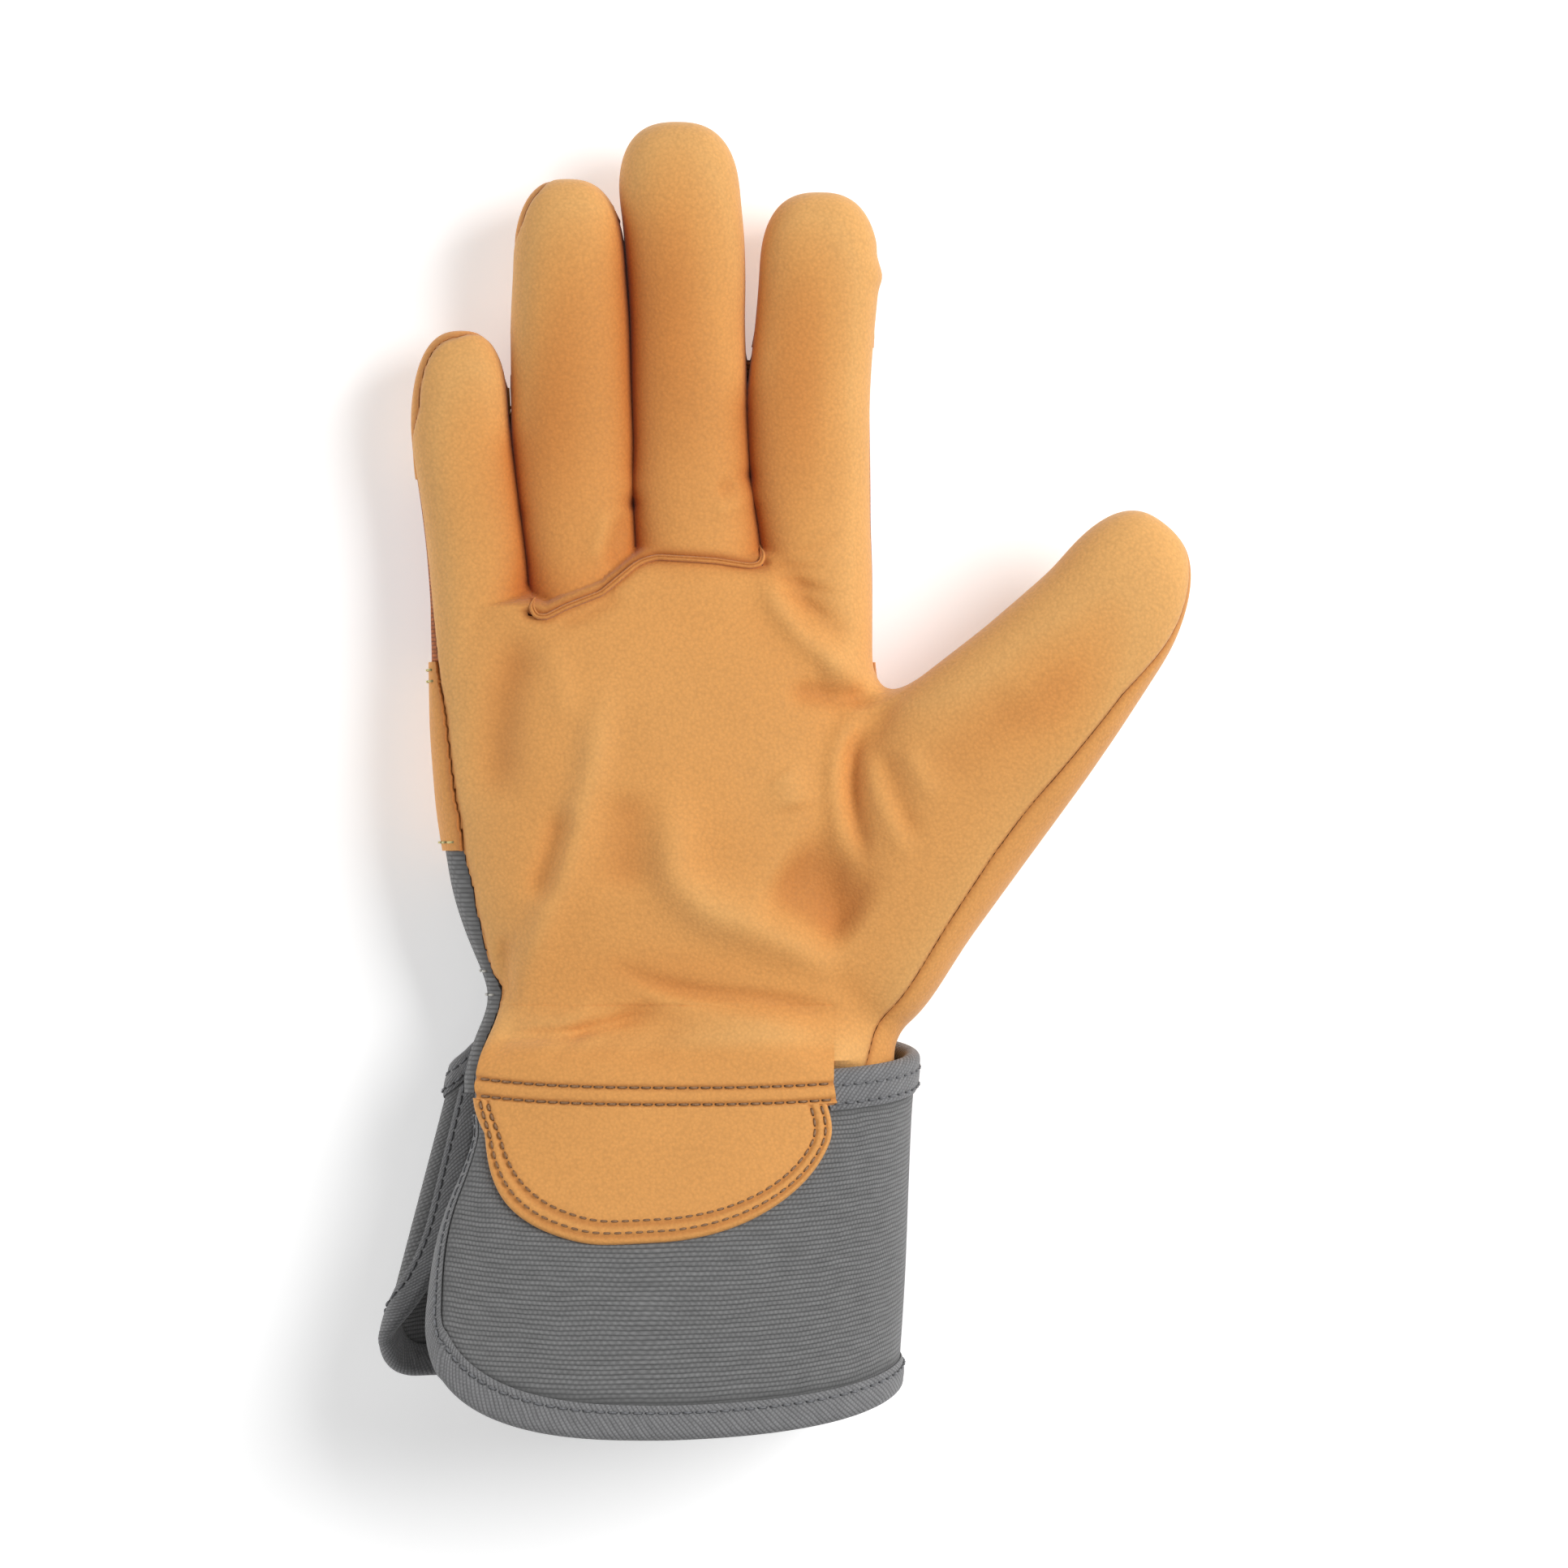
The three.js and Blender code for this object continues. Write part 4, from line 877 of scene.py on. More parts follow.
# Broad patches of painted shade, above nought, and of painted light, below nought: middle and reach along the
# plan axes, and amount
PAINTED_LIGHT_AND_SHADE = [
    ((-50, 86), (11, 36), 0.50), ((-24, 98), (12, 40), 0.45), ((3, 90), (12, 36), 0.46),
    ((-66, 70), (9, 26), 0.16), ((60, 18), (17, 15), 0.34), ((3, 1), (10, 11), -0.18),
    ((-15, -27), (11, 8), -0.22), ((41, 26), (11, 8), -0.22), ((56, 37), (9, 8), -0.18),
    ((-25, -40), (15, 6), 0.15), ((-30, 14), (18, 16), -0.10), ((-42, 4), (6, 18), -0.12),
]


def hollow_map():
    """Mean height of the palm side about each plan point, for finding hollows: the height on a
    coarse grid, nought off the glove, rounded by two bells, one narrow and one wide."""
    size = [int(n * PLAN_STEP / HOLLOW_STEP) for n in PLAN_SIZE]
    x, y = np.meshgrid(*[a + HOLLOW_STEP * np.arange(n) for a, n in zip(PLAN_LOW, size)], indexing="ij")
    height, _ = halve(lambda z: hand_field(x, y, z), np.zeros(x.shape), np.full(x.shape, PALM_TOP), 10)
    total = 0
    for reach, part in ((2.6, 0.55), (8.0, 0.45)):
        weight = bell_weights(HOLLOW_STEP, reach, 3)
        mean = height
        for axis in (0, 1):
            mean = sum(w * np.roll(mean, i - len(weight) // 2, axis=axis) for i, w in enumerate(weight))
        total = total + part * mean
    return total


def hollow_shade(points):
    """Painted light and shade by how far a point lies below what is about it: 0, painted light, on a
    high place, a half on level leather, and painted shade, 1 in a hollow and 1.5 between two fingers."""
    if "hollow" not in HAND:
        HAND["hollow"] = hollow_map()
    mean = look_up(HAND["hollow"], points[:, 0], points[:, 1], HOLLOW_STEP)
    tone = 0.5 + (mean - points[:, 2]) / 8.0
    for middle, reach, amount in PAINTED_LIGHT_AND_SHADE:
        far = sum(((points[:, k] - middle[k]) / reach[k]) ** 2 for k in (0, 1))
        tone = tone + amount * np.exp(-far)
    return np.clip(tone, 0, 1.5)


def finger_welt():
    """Folded edge of leather along the seam at the roots of the two middle fingers: a low rounded
    ridge with a groove along its top, tapering into the leather at its two ends."""
    line = rounded_line(WELT_LINE, 0.4, 0.6)
    ahead = unit(np.gradient(line, axis=0))
    across = np.stack([ahead[:, 1], -ahead[:, 0]], axis=1)
    z = palm_height(*line.T)
    z = np.convolve(np.pad(z, 4, mode="edge"), np.ones(9) / 9, "valid")
    angle = np.linspace(0, 2 * np.pi, 21)[:-1]
    side, up = np.cos(angle), np.sin(angle)
    profile_u = 0.66 * side
    profile_v = np.where(up > 0, 1.2 * up - 0.45 * bump(side + 0.2, 0.22), 0.6 * up)
    share = np.linspace(0, 1, len(line))
    size = np.minimum(smooth(share / 0.04), smooth((1 - share) / 0.04)) * 0.75 + 0.25
    rings = np.empty((len(line), len(angle), 3))
    rings[..., 0] = line[:, 0, None] + across[:, 0, None] * profile_u * size[:, None]
    rings[..., 1] = line[:, 1, None] + across[:, 1, None] * profile_u * size[:, None]
    rings[..., 2] = z[:, None] + 0.3 + profile_v * size[:, None]
    # Painted shade down the groove and on the ridge's sides
    groove = np.where(up > 0, 0.8 * bump(side + 0.2, 0.22), 0.0) + 0.9 * bump(up, 0.45)
    points, faces = skin_rings(rings)
    shade = np.concatenate([np.tile(groove, len(line)), [0.5, 0.5]])
    return points, faces, np.clip(shade, 0, 0.95)


def hem_sheet(wall):
    """The palm leather's hem: each column leaves the palm along its own slope, bends over the wrist
    to the cuff's rim, and lies on the cuff under the two rows of stitches. The palm's folds run on
    into it and fade at the rim."""
    columns, bend_rows = 170, 40
    share = np.linspace(0, 1, columns)
    x = np.linspace(-64, -56, 160)
    above = side_seam(x, np.full(160, HEM_START), palm_height(x, np.full(160, HEM_START)))
    left = x[np.argmax(above > 0.15)]
    x, y = mix(left, HEM_RIGHT, share), np.full(columns, HEM_START)
    start = np.stack([x, y, palm_height(x, y)], axis=1)
    normal = unit(field_normal(lambda *p: hand_field(*p, "palm"), start))
    leave = unit(np.array([0.0, -1.0, 0.0]) + normal * normal[:, 1:2])
    around = mix(HEM["start"], HEM["end"], share)
    lift = LEATHER_LIFT + wall
    rim = cuff_point(around, RIM_DOWN, lift)
    land = unit(cuff_point(around, 0.02, lift) - rim)
    reach = np.linalg.norm(rim - start, axis=1)[:, None]
    t = np.linspace(0, 1, bend_rows)[:, None, None]
    curve = ((2 * t ** 3 - 3 * t ** 2 + 1) * start + (t ** 3 - 2 * t ** 2 + t) * reach * leave * 1.1
             + (3 * t ** 2 - 2 * t ** 3) * rim + (t ** 3 - t ** 2) * reach * land)
    folds = look_up(RELIEF, curve[..., 0], curve[..., 1]) - look_up(RELIEF, x, y)
    curve[..., 2] += folds * smooth(t[..., 0] * 3) * smooth((1 - t[..., 0]) * 2.5)
    down = np.linspace(RIM_DOWN, HEM["bottom"], 26)[1:, None]
    band = (down - RIM_DOWN) * CUFF_HEIGHT
    groove = 0.2 * bump(band - 3.0, 1.2) - 0.4 * sum(bump(band - row, 0.5) for row in HEM_ROWS)
    outer = np.concatenate([curve, cuff_point(around[None, :], down, lift + groove)])
    rows = np.arange(len(outer))
    depth = mix(0.3, wall, smooth(rows / 6.0))
    normal = unit(np.cross(np.gradient(outer, axis=1), np.gradient(outer, axis=0)))
    normal *= np.sign(normal[..., 2:3])
    inner = outer - normal * depth[:, None, None]
    outer = outer - normal * (0.05 * (1 - smooth(rows / 2.0)))[:, None, None]
    # Painted shade: the palm's, fading out over the bend, and along the stitch rows on the band
    shade = seam_shade(start)[None, :] * (1 - smooth(rows / 8.0))[:, None]
    shade[bend_rows:] = 0.4 * sum(bump(band - row, 0.6) for row in HEM_ROWS)
    points, faces = closed_sheet(outer, inner)
    return points, faces, np.concatenate([shade.ravel(), shade.ravel()]), curve[:, -1]


def cuff_sheet():
    """The cuff's stiff canvas: the sheet at half its wall to either side, with a little unevenness
    that fades at the bound edges."""
    columns, rows, inset = 256, 76, 0.6
    around = np.linspace(inset / CUFF_LENGTH, 1 - inset / CUFF_LENGTH, columns)
    reach = cuff_reach(around, inset) / CUFF_HEIGHT
    start = inset / CUFF_HEIGHT + 0.09 * smooth((around - 0.990) / 0.006)
    down = mix(start[None, :], reach[None, :], np.linspace(0, 1, rows)[:, None])
    s, q = around[None, :] * CUFF_LENGTH, down * CUFF_HEIGHT
    uneven = 0.35 * np.sin(s / 11 + 0.8 * np.sin(q / 17)) * np.sin(q / 13 + 1 + 0.5 * np.sin(s / 23))
    uneven = uneven * smooth(q / 14) * smooth((reach[None, :] * CUFF_HEIGHT - q) / 12)
    uneven = uneven * smooth(s / 16) * smooth((CUFF_LENGTH - s) / 18) * (1 - smooth((s - 100) / 30) * 0.8)
    outer = cuff_point(around[None, :], down, CUFF_HALF + uneven)
    inner = cuff_point(around[None, :], down, -CUFF_HALF + uneven)
    uv = np.stack(np.broadcast_arrays(s, -q), axis=-1).reshape(-1, 2)
    points, faces = closed_sheet(outer, inner)
    from_edge = np.minimum(reach[None, :] * CUFF_HEIGHT - q, np.minimum(s, CUFF_LENGTH - s))
    # Painted shadow on the canvas close to the tapes
    under = np.where(around[None, :] > TOP_TAPE[0], q - TOP_TAPE_WIDTH, 99.0)
    close = np.maximum(np.minimum(from_edge - EDGE_TAPE_WIDTH, under), 0)
    shade = 0.75 * np.exp(-close / 0.7).ravel()
    return points, faces, np.concatenate([uv, uv]), np.concatenate([shade, shade])


def tape_profile(width):
    """Half outline of a folded tape, depth into the sheet against distance from its middle: down
    one leaf, round the fold, and up the other, then back along the inside."""
    inside = CUFF_HALF + TAPE_GAP
    outside = inside + TAPE_WALL
    leaf = np.linspace(width, 1.2, 12)
    fold = np.radians(np.linspace(90, -90, 13))
    outer = np.concatenate([
        np.stack([leaf, np.full(12, outside)], 1),
        np.stack([1.0 - (1.0 + TAPE_WALL * 0.9) * np.cos(fold), outside * np.sin(fold)], 1),
        np.stack([leaf[::-1], np.full(12, -outside)], 1)])
    inner = np.array([(width, -inside), (0.4, -inside), (0.1, 0.0), (0.4, inside), (width, inside)])
    return outer, inner


def tape_along(around, down, into, width, rows_at):
    """Fold a tape over an edge of the cuff. Each station has a place on the edge and the direction
    into the sheet; stitch rows press grooves into both leaves."""
    outer, inner = tape_profile(width)
    depth = outer[:, 0]
    groove = sum(0.28 * bump(depth - row, 0.5) for row in rows_at) + 0.6 * bump(depth - width, 0.7)
    puff = 0.12 * bump(depth - width * 0.45, 1.6)
    on_leaf = np.abs(outer[:, 1]) > CUFF_HALF
    outer[:, 1] -= np.sign(outer[:, 1]) * (groove - puff) * on_leaf
    profile = np.concatenate([outer, inner])
    place = around[:, None] + profile[None, :, 0] * into[:, :1] / CUFF_LENGTH
    fall = down[:, None] + profile[None, :, 0] * into[:, 1:] / CUFF_HEIGHT
    rings = cuff_point(place, fall, np.broadcast_to(profile[None, :, 1], place.shape))
    run, v = run_along(rings[:, len(outer) // 2])[:, None], run_along(profile)[None, :]
    # The tape is cut across the weave, which lies at half a right angle to it
    uv = np.stack([run + v, run - v], axis=-1).reshape(-1, 2) / math.sqrt(2)
    points, faces = skin_rings(rings)
    return points, faces, np.concatenate([uv, np.zeros((2, 2))])


def edge_line(pitch=1.1):
    """Stations of the cuff's free edge, from the palm side's end round both corners to the back
    side's: place round, place down and the direction into the sheet."""
    a = np.radians(np.linspace(0, 90, 60))
    first, last = (np.stack([wide * (1 - np.cos(a)), CUFF_HEIGHT - high * (1 - np.sin(a))], 1)
                   for wide, high in (PALM_CORNER, BACK_CORNER))
    last[:, 0] = CUFF_LENGTH - last[:, 0]
    line = np.concatenate([[(0, 9.5)], first, last[::-1], [(CUFF_LENGTH, 9.0)]])
    line = spread(line, pitch)
    ahead = unit(np.gradient(line, axis=0))
    into = np.stack([ahead[:, 1], -ahead[:, 0]], axis=1)
    return line[:, 0] / CUFF_LENGTH, line[:, 1] / CUFF_HEIGHT, into


def patch_depth(u):
    """Depth of the patch below its straight top, for u from -1 to 1 along the top: half a
    superellipse, fuller towards the thumb than towards the slit."""
    power = mix(1.55, 2.1, smooth(0.5 + 2 * u))
    return PATCH["drop"] * np.sqrt(np.maximum(0, 1 - np.abs(u) ** power))


def pulse_patch():
    """Leather patch on the palm side of the cuff: half a superellipse below a straight top. Its
    edge is rounded, and two stitch rows press grooves along it."""
    columns, rows = 190, 84
    u = np.sin(np.linspace(-np.pi / 2, np.pi / 2, columns))
    v = np.linspace(0, 1, rows)[:, None]
    around = mix(PATCH["start"], PATCH["end"], (u + 1) / 2)
    depth = 0.01 + patch_depth(u)
    down = PATCH["top"] + depth[None, :] * v
    s, q = np.broadcast_arrays(around[None, :] * CUFF_LENGTH, down * CUFF_HEIGHT)
    edge = np.stack([around * CUFF_LENGTH, (PATCH["top"] + depth) * CUFF_HEIGHT], 1)
    ends = np.stack([edge[[0, -1], 0], np.full(2, PATCH["top"] * CUFF_HEIGHT)], 1)
    from_edge = line_distance(s, q, np.concatenate([ends[:1], edge, ends[1:]]))[0]
    height = -0.75 * PATCH_WALL * np.exp(-from_edge / 0.45)
    height = height - 0.32 * sum(bump(from_edge - row, 0.5) for row in PATCH_ROWS)
    height = height + 0.14 * bump(from_edge - 2.9, 0.7) + 0.12 * bump(from_edge - 6.2, 1.5)
    outer = cuff_point(around[None, :], down, LEATHER_LIFT + PATCH_WALL + height)
    inner = cuff_point(around[None, :], down, LEATHER_LIFT)
    points, faces = closed_sheet(outer, inner)
    # Painted shade along the two stitch rows
    shade = 0.4 * sum(bump(from_edge - row, 0.6) for row in PATCH_ROWS).ravel()
    return points, faces, np.concatenate([shade, shade])


def stitches(line, normal, pitch, share=0.86, thick=0.24, rise=0.1):
    """A row of stitches along a line on a surface: each is a short thread that comes up out of the
    surface, lies along it and goes down again. The thread's ring is six-sided."""
    line = np.asarray(line, float)
    run = run_along(line)
    count = max(1, int(round(run[-1] / pitch)))
    pitch = run[-1] / count
    t = np.array([0.0, 0.08, 0.25, 0.5, 0.75, 0.92, 1.0])
    at = (np.arange(count)[:, None] + (1 - share) / 2 + share * t[None, :]) * pitch
    place = np.stack([np.interp(at, run, line[:, k]) for k in range(3)], axis=-1)
    up = unit(np.stack([np.interp(at, run, normal[:, k]) for k in range(3)], axis=-1))
    across = np.cross(unit(np.gradient(place, axis=1)), up)
    height = np.array([-1.5, -0.2, 0.75, 1.0, 0.75, -0.2, -1.5]) * thick + rise
    size = thick * np.array([0.55, 0.9, 1.0, 1.05, 1.0, 0.9, 0.55])
    angle = np.radians(np.arange(0, 360, 60))
    above = (height[:, None] + size[:, None] * np.sin(angle))[None, :, :, None]
    aside = (size[:, None] * np.cos(angle))[None, :, :, None]
    ring = place[:, :, None] + up[:, :, None] * above + across[:, :, None] * aside
    rings, sides = ring.shape[1:3]
    points = ring.reshape(-1, 3)
    base = grid_faces(rings, sides, closed=True)
    caps = np.array([np.arange(sides)[::-1], (rings - 1) * sides + np.arange(sides)])
    step = np.arange(count)[:, None, None] * rings * sides
    # Painted shade at each stitch's ends, where the thread goes down into its holes
    hole = np.tile(np.repeat([1.0, 0.9, 0.25, 0.0, 0.25, 0.9, 1.0], sides), count)
    return points, [(base[None] + step).reshape(-1, 4), (caps[None] + step).reshape(-1, sides)], hole


def put_stitches(name, rows, kind):
    """Put rows of stitches in as one piece, with painted shade on each thread where it dips into its holes.
    """
    first = np.cumsum([0] + [len(points) for points, _, _ in rows])
    faces = [np.concatenate([row[1][k] + start for row, start in zip(rows, first)]) for k in (0, 1)]
    points, hole = (np.concatenate([row[k] for row in rows]) for k in (0, 2))
    put(name, points, faces, kind, [], dict(hole=hole))


def on_cuff(around, down, offset):
    """Points on the cuff's outside at an offset, with the outward direction there."""
    place = cuff_point(around, down, offset)
    return place, cuff_point(around, down, offset + 1.0) - place


def back_section(y, center, turn):
    """Points of the hand's skin in the plane at y, along rays from a centre at the given angles,
    each found by marching outwards and then halving."""
    cx, cz = center
    ux, uz = np.cos(np.radians(turn)), np.sin(np.radians(turn))
    y = np.full(turn.shape, y)

    def along_ray(r):
        return hand_field(cx + r * ux, y, cz + r * uz)

    high = np.full(turn.shape, 90.0)
    for r in np.arange(1.0, 90.0, 1.0)[::-1]:
        high = np.where(along_ray(r) > 0, r, high)
    _, high = halve(along_ray, high - 1.0, high, 16)
    place = np.stack([cx + high * ux, y, cz + high * uz], axis=1)
    return place, unit(field_normal(hand_field, place))


def linear_colour(code):
    """Turn an sRGB hex code to the linear red, green and blue that a shader takes."""
    value = np.array([int(code[i:i + 2], 16) for i in (1, 3, 5)]) / 255
    value = np.where(value <= 0.04045, value / 12.92, ((value + 0.055) / 1.055) ** 2.4)
    return tuple(float(v) for v in value)


def add_node(tree, kind, settings=None, **inputs):
    """Add a node. Its kind may be followed by its operation. settings are its other options, and
    inputs name its sockets, or their places as i0, i1 and so on. A socket given for one is linked,
    a node given for one is linked from its first output, and anything else is its value."""
    kind, _, operation = kind.partition(" ")
    node = tree.nodes.new("ShaderNode" + kind)
    if operation:
        node.operation = operation
    for key, value in (settings or {}).items():
        setattr(node, key, value)
    for key, value in inputs.items():
        socket = node.inputs[int(key[1:]) if key[0] == "i" and key[1:].isdigit() else key.replace("_", " ")]
        if isinstance(value, bpy.types.Node):
            value = next(output for output in value.outputs if output.enabled)
        if isinstance(value, tuple) and socket.type == "RGBA":
            value = (*value[:3], 1)
        if isinstance(value, bpy.types.NodeSocket):
            tree.links.new(value, socket)
        else:
            socket.default_value = value
    return node


BLEND = {"data_type": "RGBA"}


def new_tree(name):
    """Node tree of a new, empty material."""
    material = bpy.data.materials.new(name)
    material.use_nodes = True
    material.node_tree.nodes.clear()
    return material.node_tree


def finished(tree, **inputs):
    """Close a tree with its one shader, and return the material that it belongs to."""
    shader = add_node(tree, "BsdfPrincipled", **inputs)
    add_node(tree, "OutputMaterial", Surface=shader)
    return next(m for m in bpy.data.materials if m.node_tree == tree)


def brushed_leather(name, colour):
    """Synthetic microfibre leather with a brushed nap. To the eye it is dry and matt with a fine
    pebbled grain, with painted light, paler, on the high places, and painted shade, darker and redder,
    down in its folds, between its fingers and along its seams."""
    tree = new_tree(name)
    place = add_node(tree, "TexCoord").outputs["Object"]
    seam = add_node(tree, "Attribute", {"attribute_name": "seam"}).outputs["Fac"]
    hollow = add_node(tree, "Attribute", {"attribute_name": "hollow"}).outputs["Fac"]
    # Pebbles of the grain 0.5 mm across in the real one, drawn at 0.7 mm to show, and nap on them
    pebble = add_node(tree, "TexVoronoi", {"feature": "SMOOTH_F1"}, Vector=place, Scale=1 / 0.0007,
                      Smoothness=0.5)
    nap = add_node(tree, "TexNoise", Vector=place, Scale=1 / 0.0007, Detail=2.0,
                   Roughness=0.6)
    # Uneven dye 25 mm across
    cloud = add_node(tree, "TexNoise", Vector=place, Scale=1 / 0.025, Detail=2.0,
                     Roughness=0.5)
    # Fine wrinkles about 3 mm apart
    crease = add_node(tree, "TexNoise", {"noise_type": "RIDGED_MULTIFRACTAL"}, Vector=place,
                      Scale=1 / 0.009, Detail=2.0, Roughness=0.5, Distortion=0.5)
    lit_colour, dark, shaded, deep = (tuple(min(1.0, c * f) for c, f in zip(colour, tone)) for tone in (
        PAINTED_LIGHT_LEATHER, DARK_LEATHER, SHADED_LEATHER, DEEP_LEATHER))
    # Painted light on the high places, painted shade in hollows and deeper painted shade between the fingers
    base = lit_colour
    for low, tone in ((0.0, colour), (0.5, dark), (1.0, shaded)):
        share = add_node(tree, "MapRange", Value=hollow, i1=low, i2=low + 0.5)
        base = add_node(tree, "Mix", BLEND, i0=share, i6=base, i7=tone)
    speck = add_node(tree, "MapRange", Value=nap, i1=0.3, i2=0.7, i3=0.95, i4=1.05)
    pit = add_node(tree, "MapRange", Value=pebble, i1=0.25, i2=0.75, i3=1.03, i4=0.93)
    dye = add_node(tree, "MapRange", Value=cloud, i1=0.3, i2=0.7, i3=0.97, i4=1.03)
    grain = add_node(tree, "Math MULTIPLY", i0=add_node(tree, "Math MULTIPLY", i0=speck, i1=pit), i1=dye)
    grained = add_node(tree, "VectorMath SCALE", i0=base, Scale=grain)
    # Painted shade along the seams, beside the welt and down in the folds and crevices
    with_painted_shade = add_node(tree, "Mix", BLEND, i0=seam, i6=grained, i7=deep)
    rough = add_node(tree, "MapRange", Value=nap, i1=0.3, i2=0.7, i3=0.72, i4=0.86)
    wrinkled = add_node(tree, "Bump", Height=crease, Strength=0.12, Distance=0.0003)
    pebbled = add_node(tree, "Bump", {"invert": True}, Height=pebble, Strength=0.55,
                       Distance=0.00012, Normal=wrinkled)
    napped = add_node(tree, "Bump", Height=nap, Strength=0.5, Distance=0.00014, Normal=pebbled)
    return finished(tree, Base_Color=with_painted_shade, Normal=napped, Roughness=rough, Sheen_Weight=0.2,
                    Sheen_Roughness=0.4, Specular_IOR_Level=0.3)


def woven_canvas(name, colour, warp, weft, depth=0.00035, contrast=0.55):
    """Plain-woven cotton cloth. To the eye it is a dry, even grid of rounded threads: each row
    steps half a thread from the last, with dark gaps between and slubs along single threads."""
    tree = new_tree(name)
    uv = add_node(tree, "UVMap", {"uv_map": "cloth"})
    wander = add_node(tree, "TexNoise", {"noise_dimensions": "2D"}, Vector=uv, Scale=1 / 0.012, Detail=2.0)
    shift = add_node(tree, "VectorMath MULTIPLY_ADD", i0=wander.outputs["Color"],
                     i1=(0.0008, 0.0008, 0), i2=uv)
    split = add_node(tree, "SeparateXYZ", Vector=shift)
    place = add_node(tree, "Math DIVIDE", i0=split.outputs[1], i1=weft * MM)
    row = add_node(tree, "Math FLOOR", i0=place)
    step = add_node(tree, "Math DIVIDE", i0=split.outputs[0], i1=warp * MM)
    step = add_node(tree, "Math MULTIPLY_ADD", i0=row, i1=0.5, i2=step)
    # A thread's round back is the size of a sine, and its dips under the crossing threads a cosine
    rib = add_node(tree, "Math SINE", i0=add_node(tree, "Math MULTIPLY", i0=place, i1=math.pi))
    rib = add_node(tree, "Math POWER", i0=add_node(tree, "Math ABSOLUTE", i0=rib), i1=0.6)
    over = add_node(tree, "Math COSINE", i0=add_node(tree, "Math MULTIPLY", i0=step, i1=2 * math.pi))
    over = add_node(tree, "Math MULTIPLY_ADD", i0=over, i1=0.18, i2=0.79)
    threads = add_node(tree, "Math MULTIPLY", i0=rib, i1=over)
    # Slubs: noise drawn out along the rows, one thread wide
    along = add_node(tree, "VectorMath MULTIPLY", i0=shift, i1=(1 / 0.006, 1 / (weft * MM), 1))
    slub = add_node(tree, "TexNoise", {"noise_dimensions": "2D"}, Vector=along, Scale=1.0, Detail=1.0)
    fibre = add_node(tree, "TexNoise", {"noise_dimensions": "2D"}, Vector=uv, Scale=1 / 0.0004, Detail=2.0)
    # Painted shade by the seams and painted shadow beside the tapes
    seam = add_node(tree, "Attribute", {"attribute_name": "seam"}).outputs["Fac"]
    gap, yarn, deep = (tuple(min(1.0, c * f) for c in colour) for f in (1 - contrast, 1.25, 0.45))
    base = add_node(tree, "Mix", BLEND, i0=threads, i6=gap, i7=yarn)
    gain = add_node(tree, "MapRange", Value=add_node(tree, "Math ADD", i0=slub, i1=fibre),
                    i1=0.6, i2=1.4, i3=0.84, i4=1.16)
    toned = add_node(tree, "VectorMath SCALE", i0=base, Scale=gain)
    shaded = add_node(tree, "Mix", BLEND, i0=seam, i6=toned, i7=deep)
    height = add_node(tree, "Math MULTIPLY_ADD", i0=fibre, i1=0.25, i2=threads)
    bumps = add_node(tree, "Bump", Height=height, Strength=0.6, Distance=depth)
    return finished(tree, Base_Color=shaded, Normal=bumps, Roughness=0.92, Sheen_Weight=0.2,
                    Sheen_Roughness=0.5, Specular_IOR_Level=0.2)


def spun_thread(name, colour):
    """Twisted polyester sewing thread. To the eye it has a slight gloss, and its twist breaks the
    light along it."""
    tree = new_tree(name)
    place = add_node(tree, "TexCoord").outputs["Object"]
    twist = add_node(tree, "TexNoise", Vector=place, Scale=1 / 0.0004, Detail=2.0)
    gain = add_node(tree, "MapRange", Value=twist, i1=0.3, i2=0.7, i3=0.75, i4=1.25)
    toned = add_node(tree, "VectorMath SCALE", i0=colour, Scale=gain)
    # Painted shade on the thread where it dips into its holes
    hole = add_node(tree, "Attribute", {"attribute_name": "hole"}).outputs["Fac"]
    bumps = add_node(tree, "Bump", Height=twist, Strength=0.4, Distance=0.0001)
    dipped = add_node(tree, "Mix", BLEND, i0=hole, i6=toned, i7=tuple(c * 0.22 for c in colour))
    return finished(tree, Base_Color=dipped, Normal=bumps, Roughness=0.55, Specular_IOR_Level=0.4)


def studio_floor(name):
    """Matt white laminate, smooth and even, with the faintest unevenness of tone."""
    tree = new_tree(name)
    place = add_node(tree, "TexCoord").outputs["Object"]
    cloud = add_node(tree, "TexNoise", Vector=place, Scale=1 / 0.4, Detail=2.0)
    gain = add_node(tree, "MapRange", Value=cloud, i1=0.3, i2=0.7, i3=0.90, i4=0.92)
    grey = add_node(tree, "CombineColor", Red=gain, Green=gain, Blue=gain)
    return finished(tree, Base_Color=grey, Roughness=0.9, Specular_IOR_Level=0.1,
                    Emission_Color=(1, 1, 1, 1), Emission_Strength=0.36)


MADE = {}


def finish(kind):
    """The finish of a kind of piece, made once."""
    if kind not in MADE:
        scene = bpy.context.scene
        colour = tuple(getattr(scene.glove_colours, kind))
        warp, weft = scene.glove_sizes.warp_pitch / MM, scene.glove_sizes.weft_pitch / MM
        make, name, *settings = {
            "leather": (brushed_leather, "Brushed microfibre leather"),
            "grey_canvas": (woven_canvas, "Woven grey canvas", warp, weft),
            "rust_canvas": (woven_canvas, "Woven rust canvas", 0.8, 0.85),
            "grey_tape": (woven_canvas, "Woven grey tape", 0.75, 0.8, 0.0003, 0.4),
            "brown_thread": (spun_thread, "Brown polyester thread"),
            "pale_thread": (spun_thread, "Pale yellow polyester thread"),
            "grey_thread": (spun_thread, "Grey polyester thread"),
            "elastic_thread": (spun_thread, "White elastic thread"),
        }[kind]
        MADE[kind] = make(name, colour, *settings)
    return MADE[kind]


def colour_property(name, description, code):
    return FloatVectorProperty(name=name, description=description, default=linear_colour(code),
                               size=3, min=0.0, max=1.0, subtype="COLOR")


def length_property(name, description, default):
    return FloatProperty(name=name, description=description, default=default, min=0.0001, max=2.5,
                         precision=4, subtype="DISTANCE", unit="LENGTH")


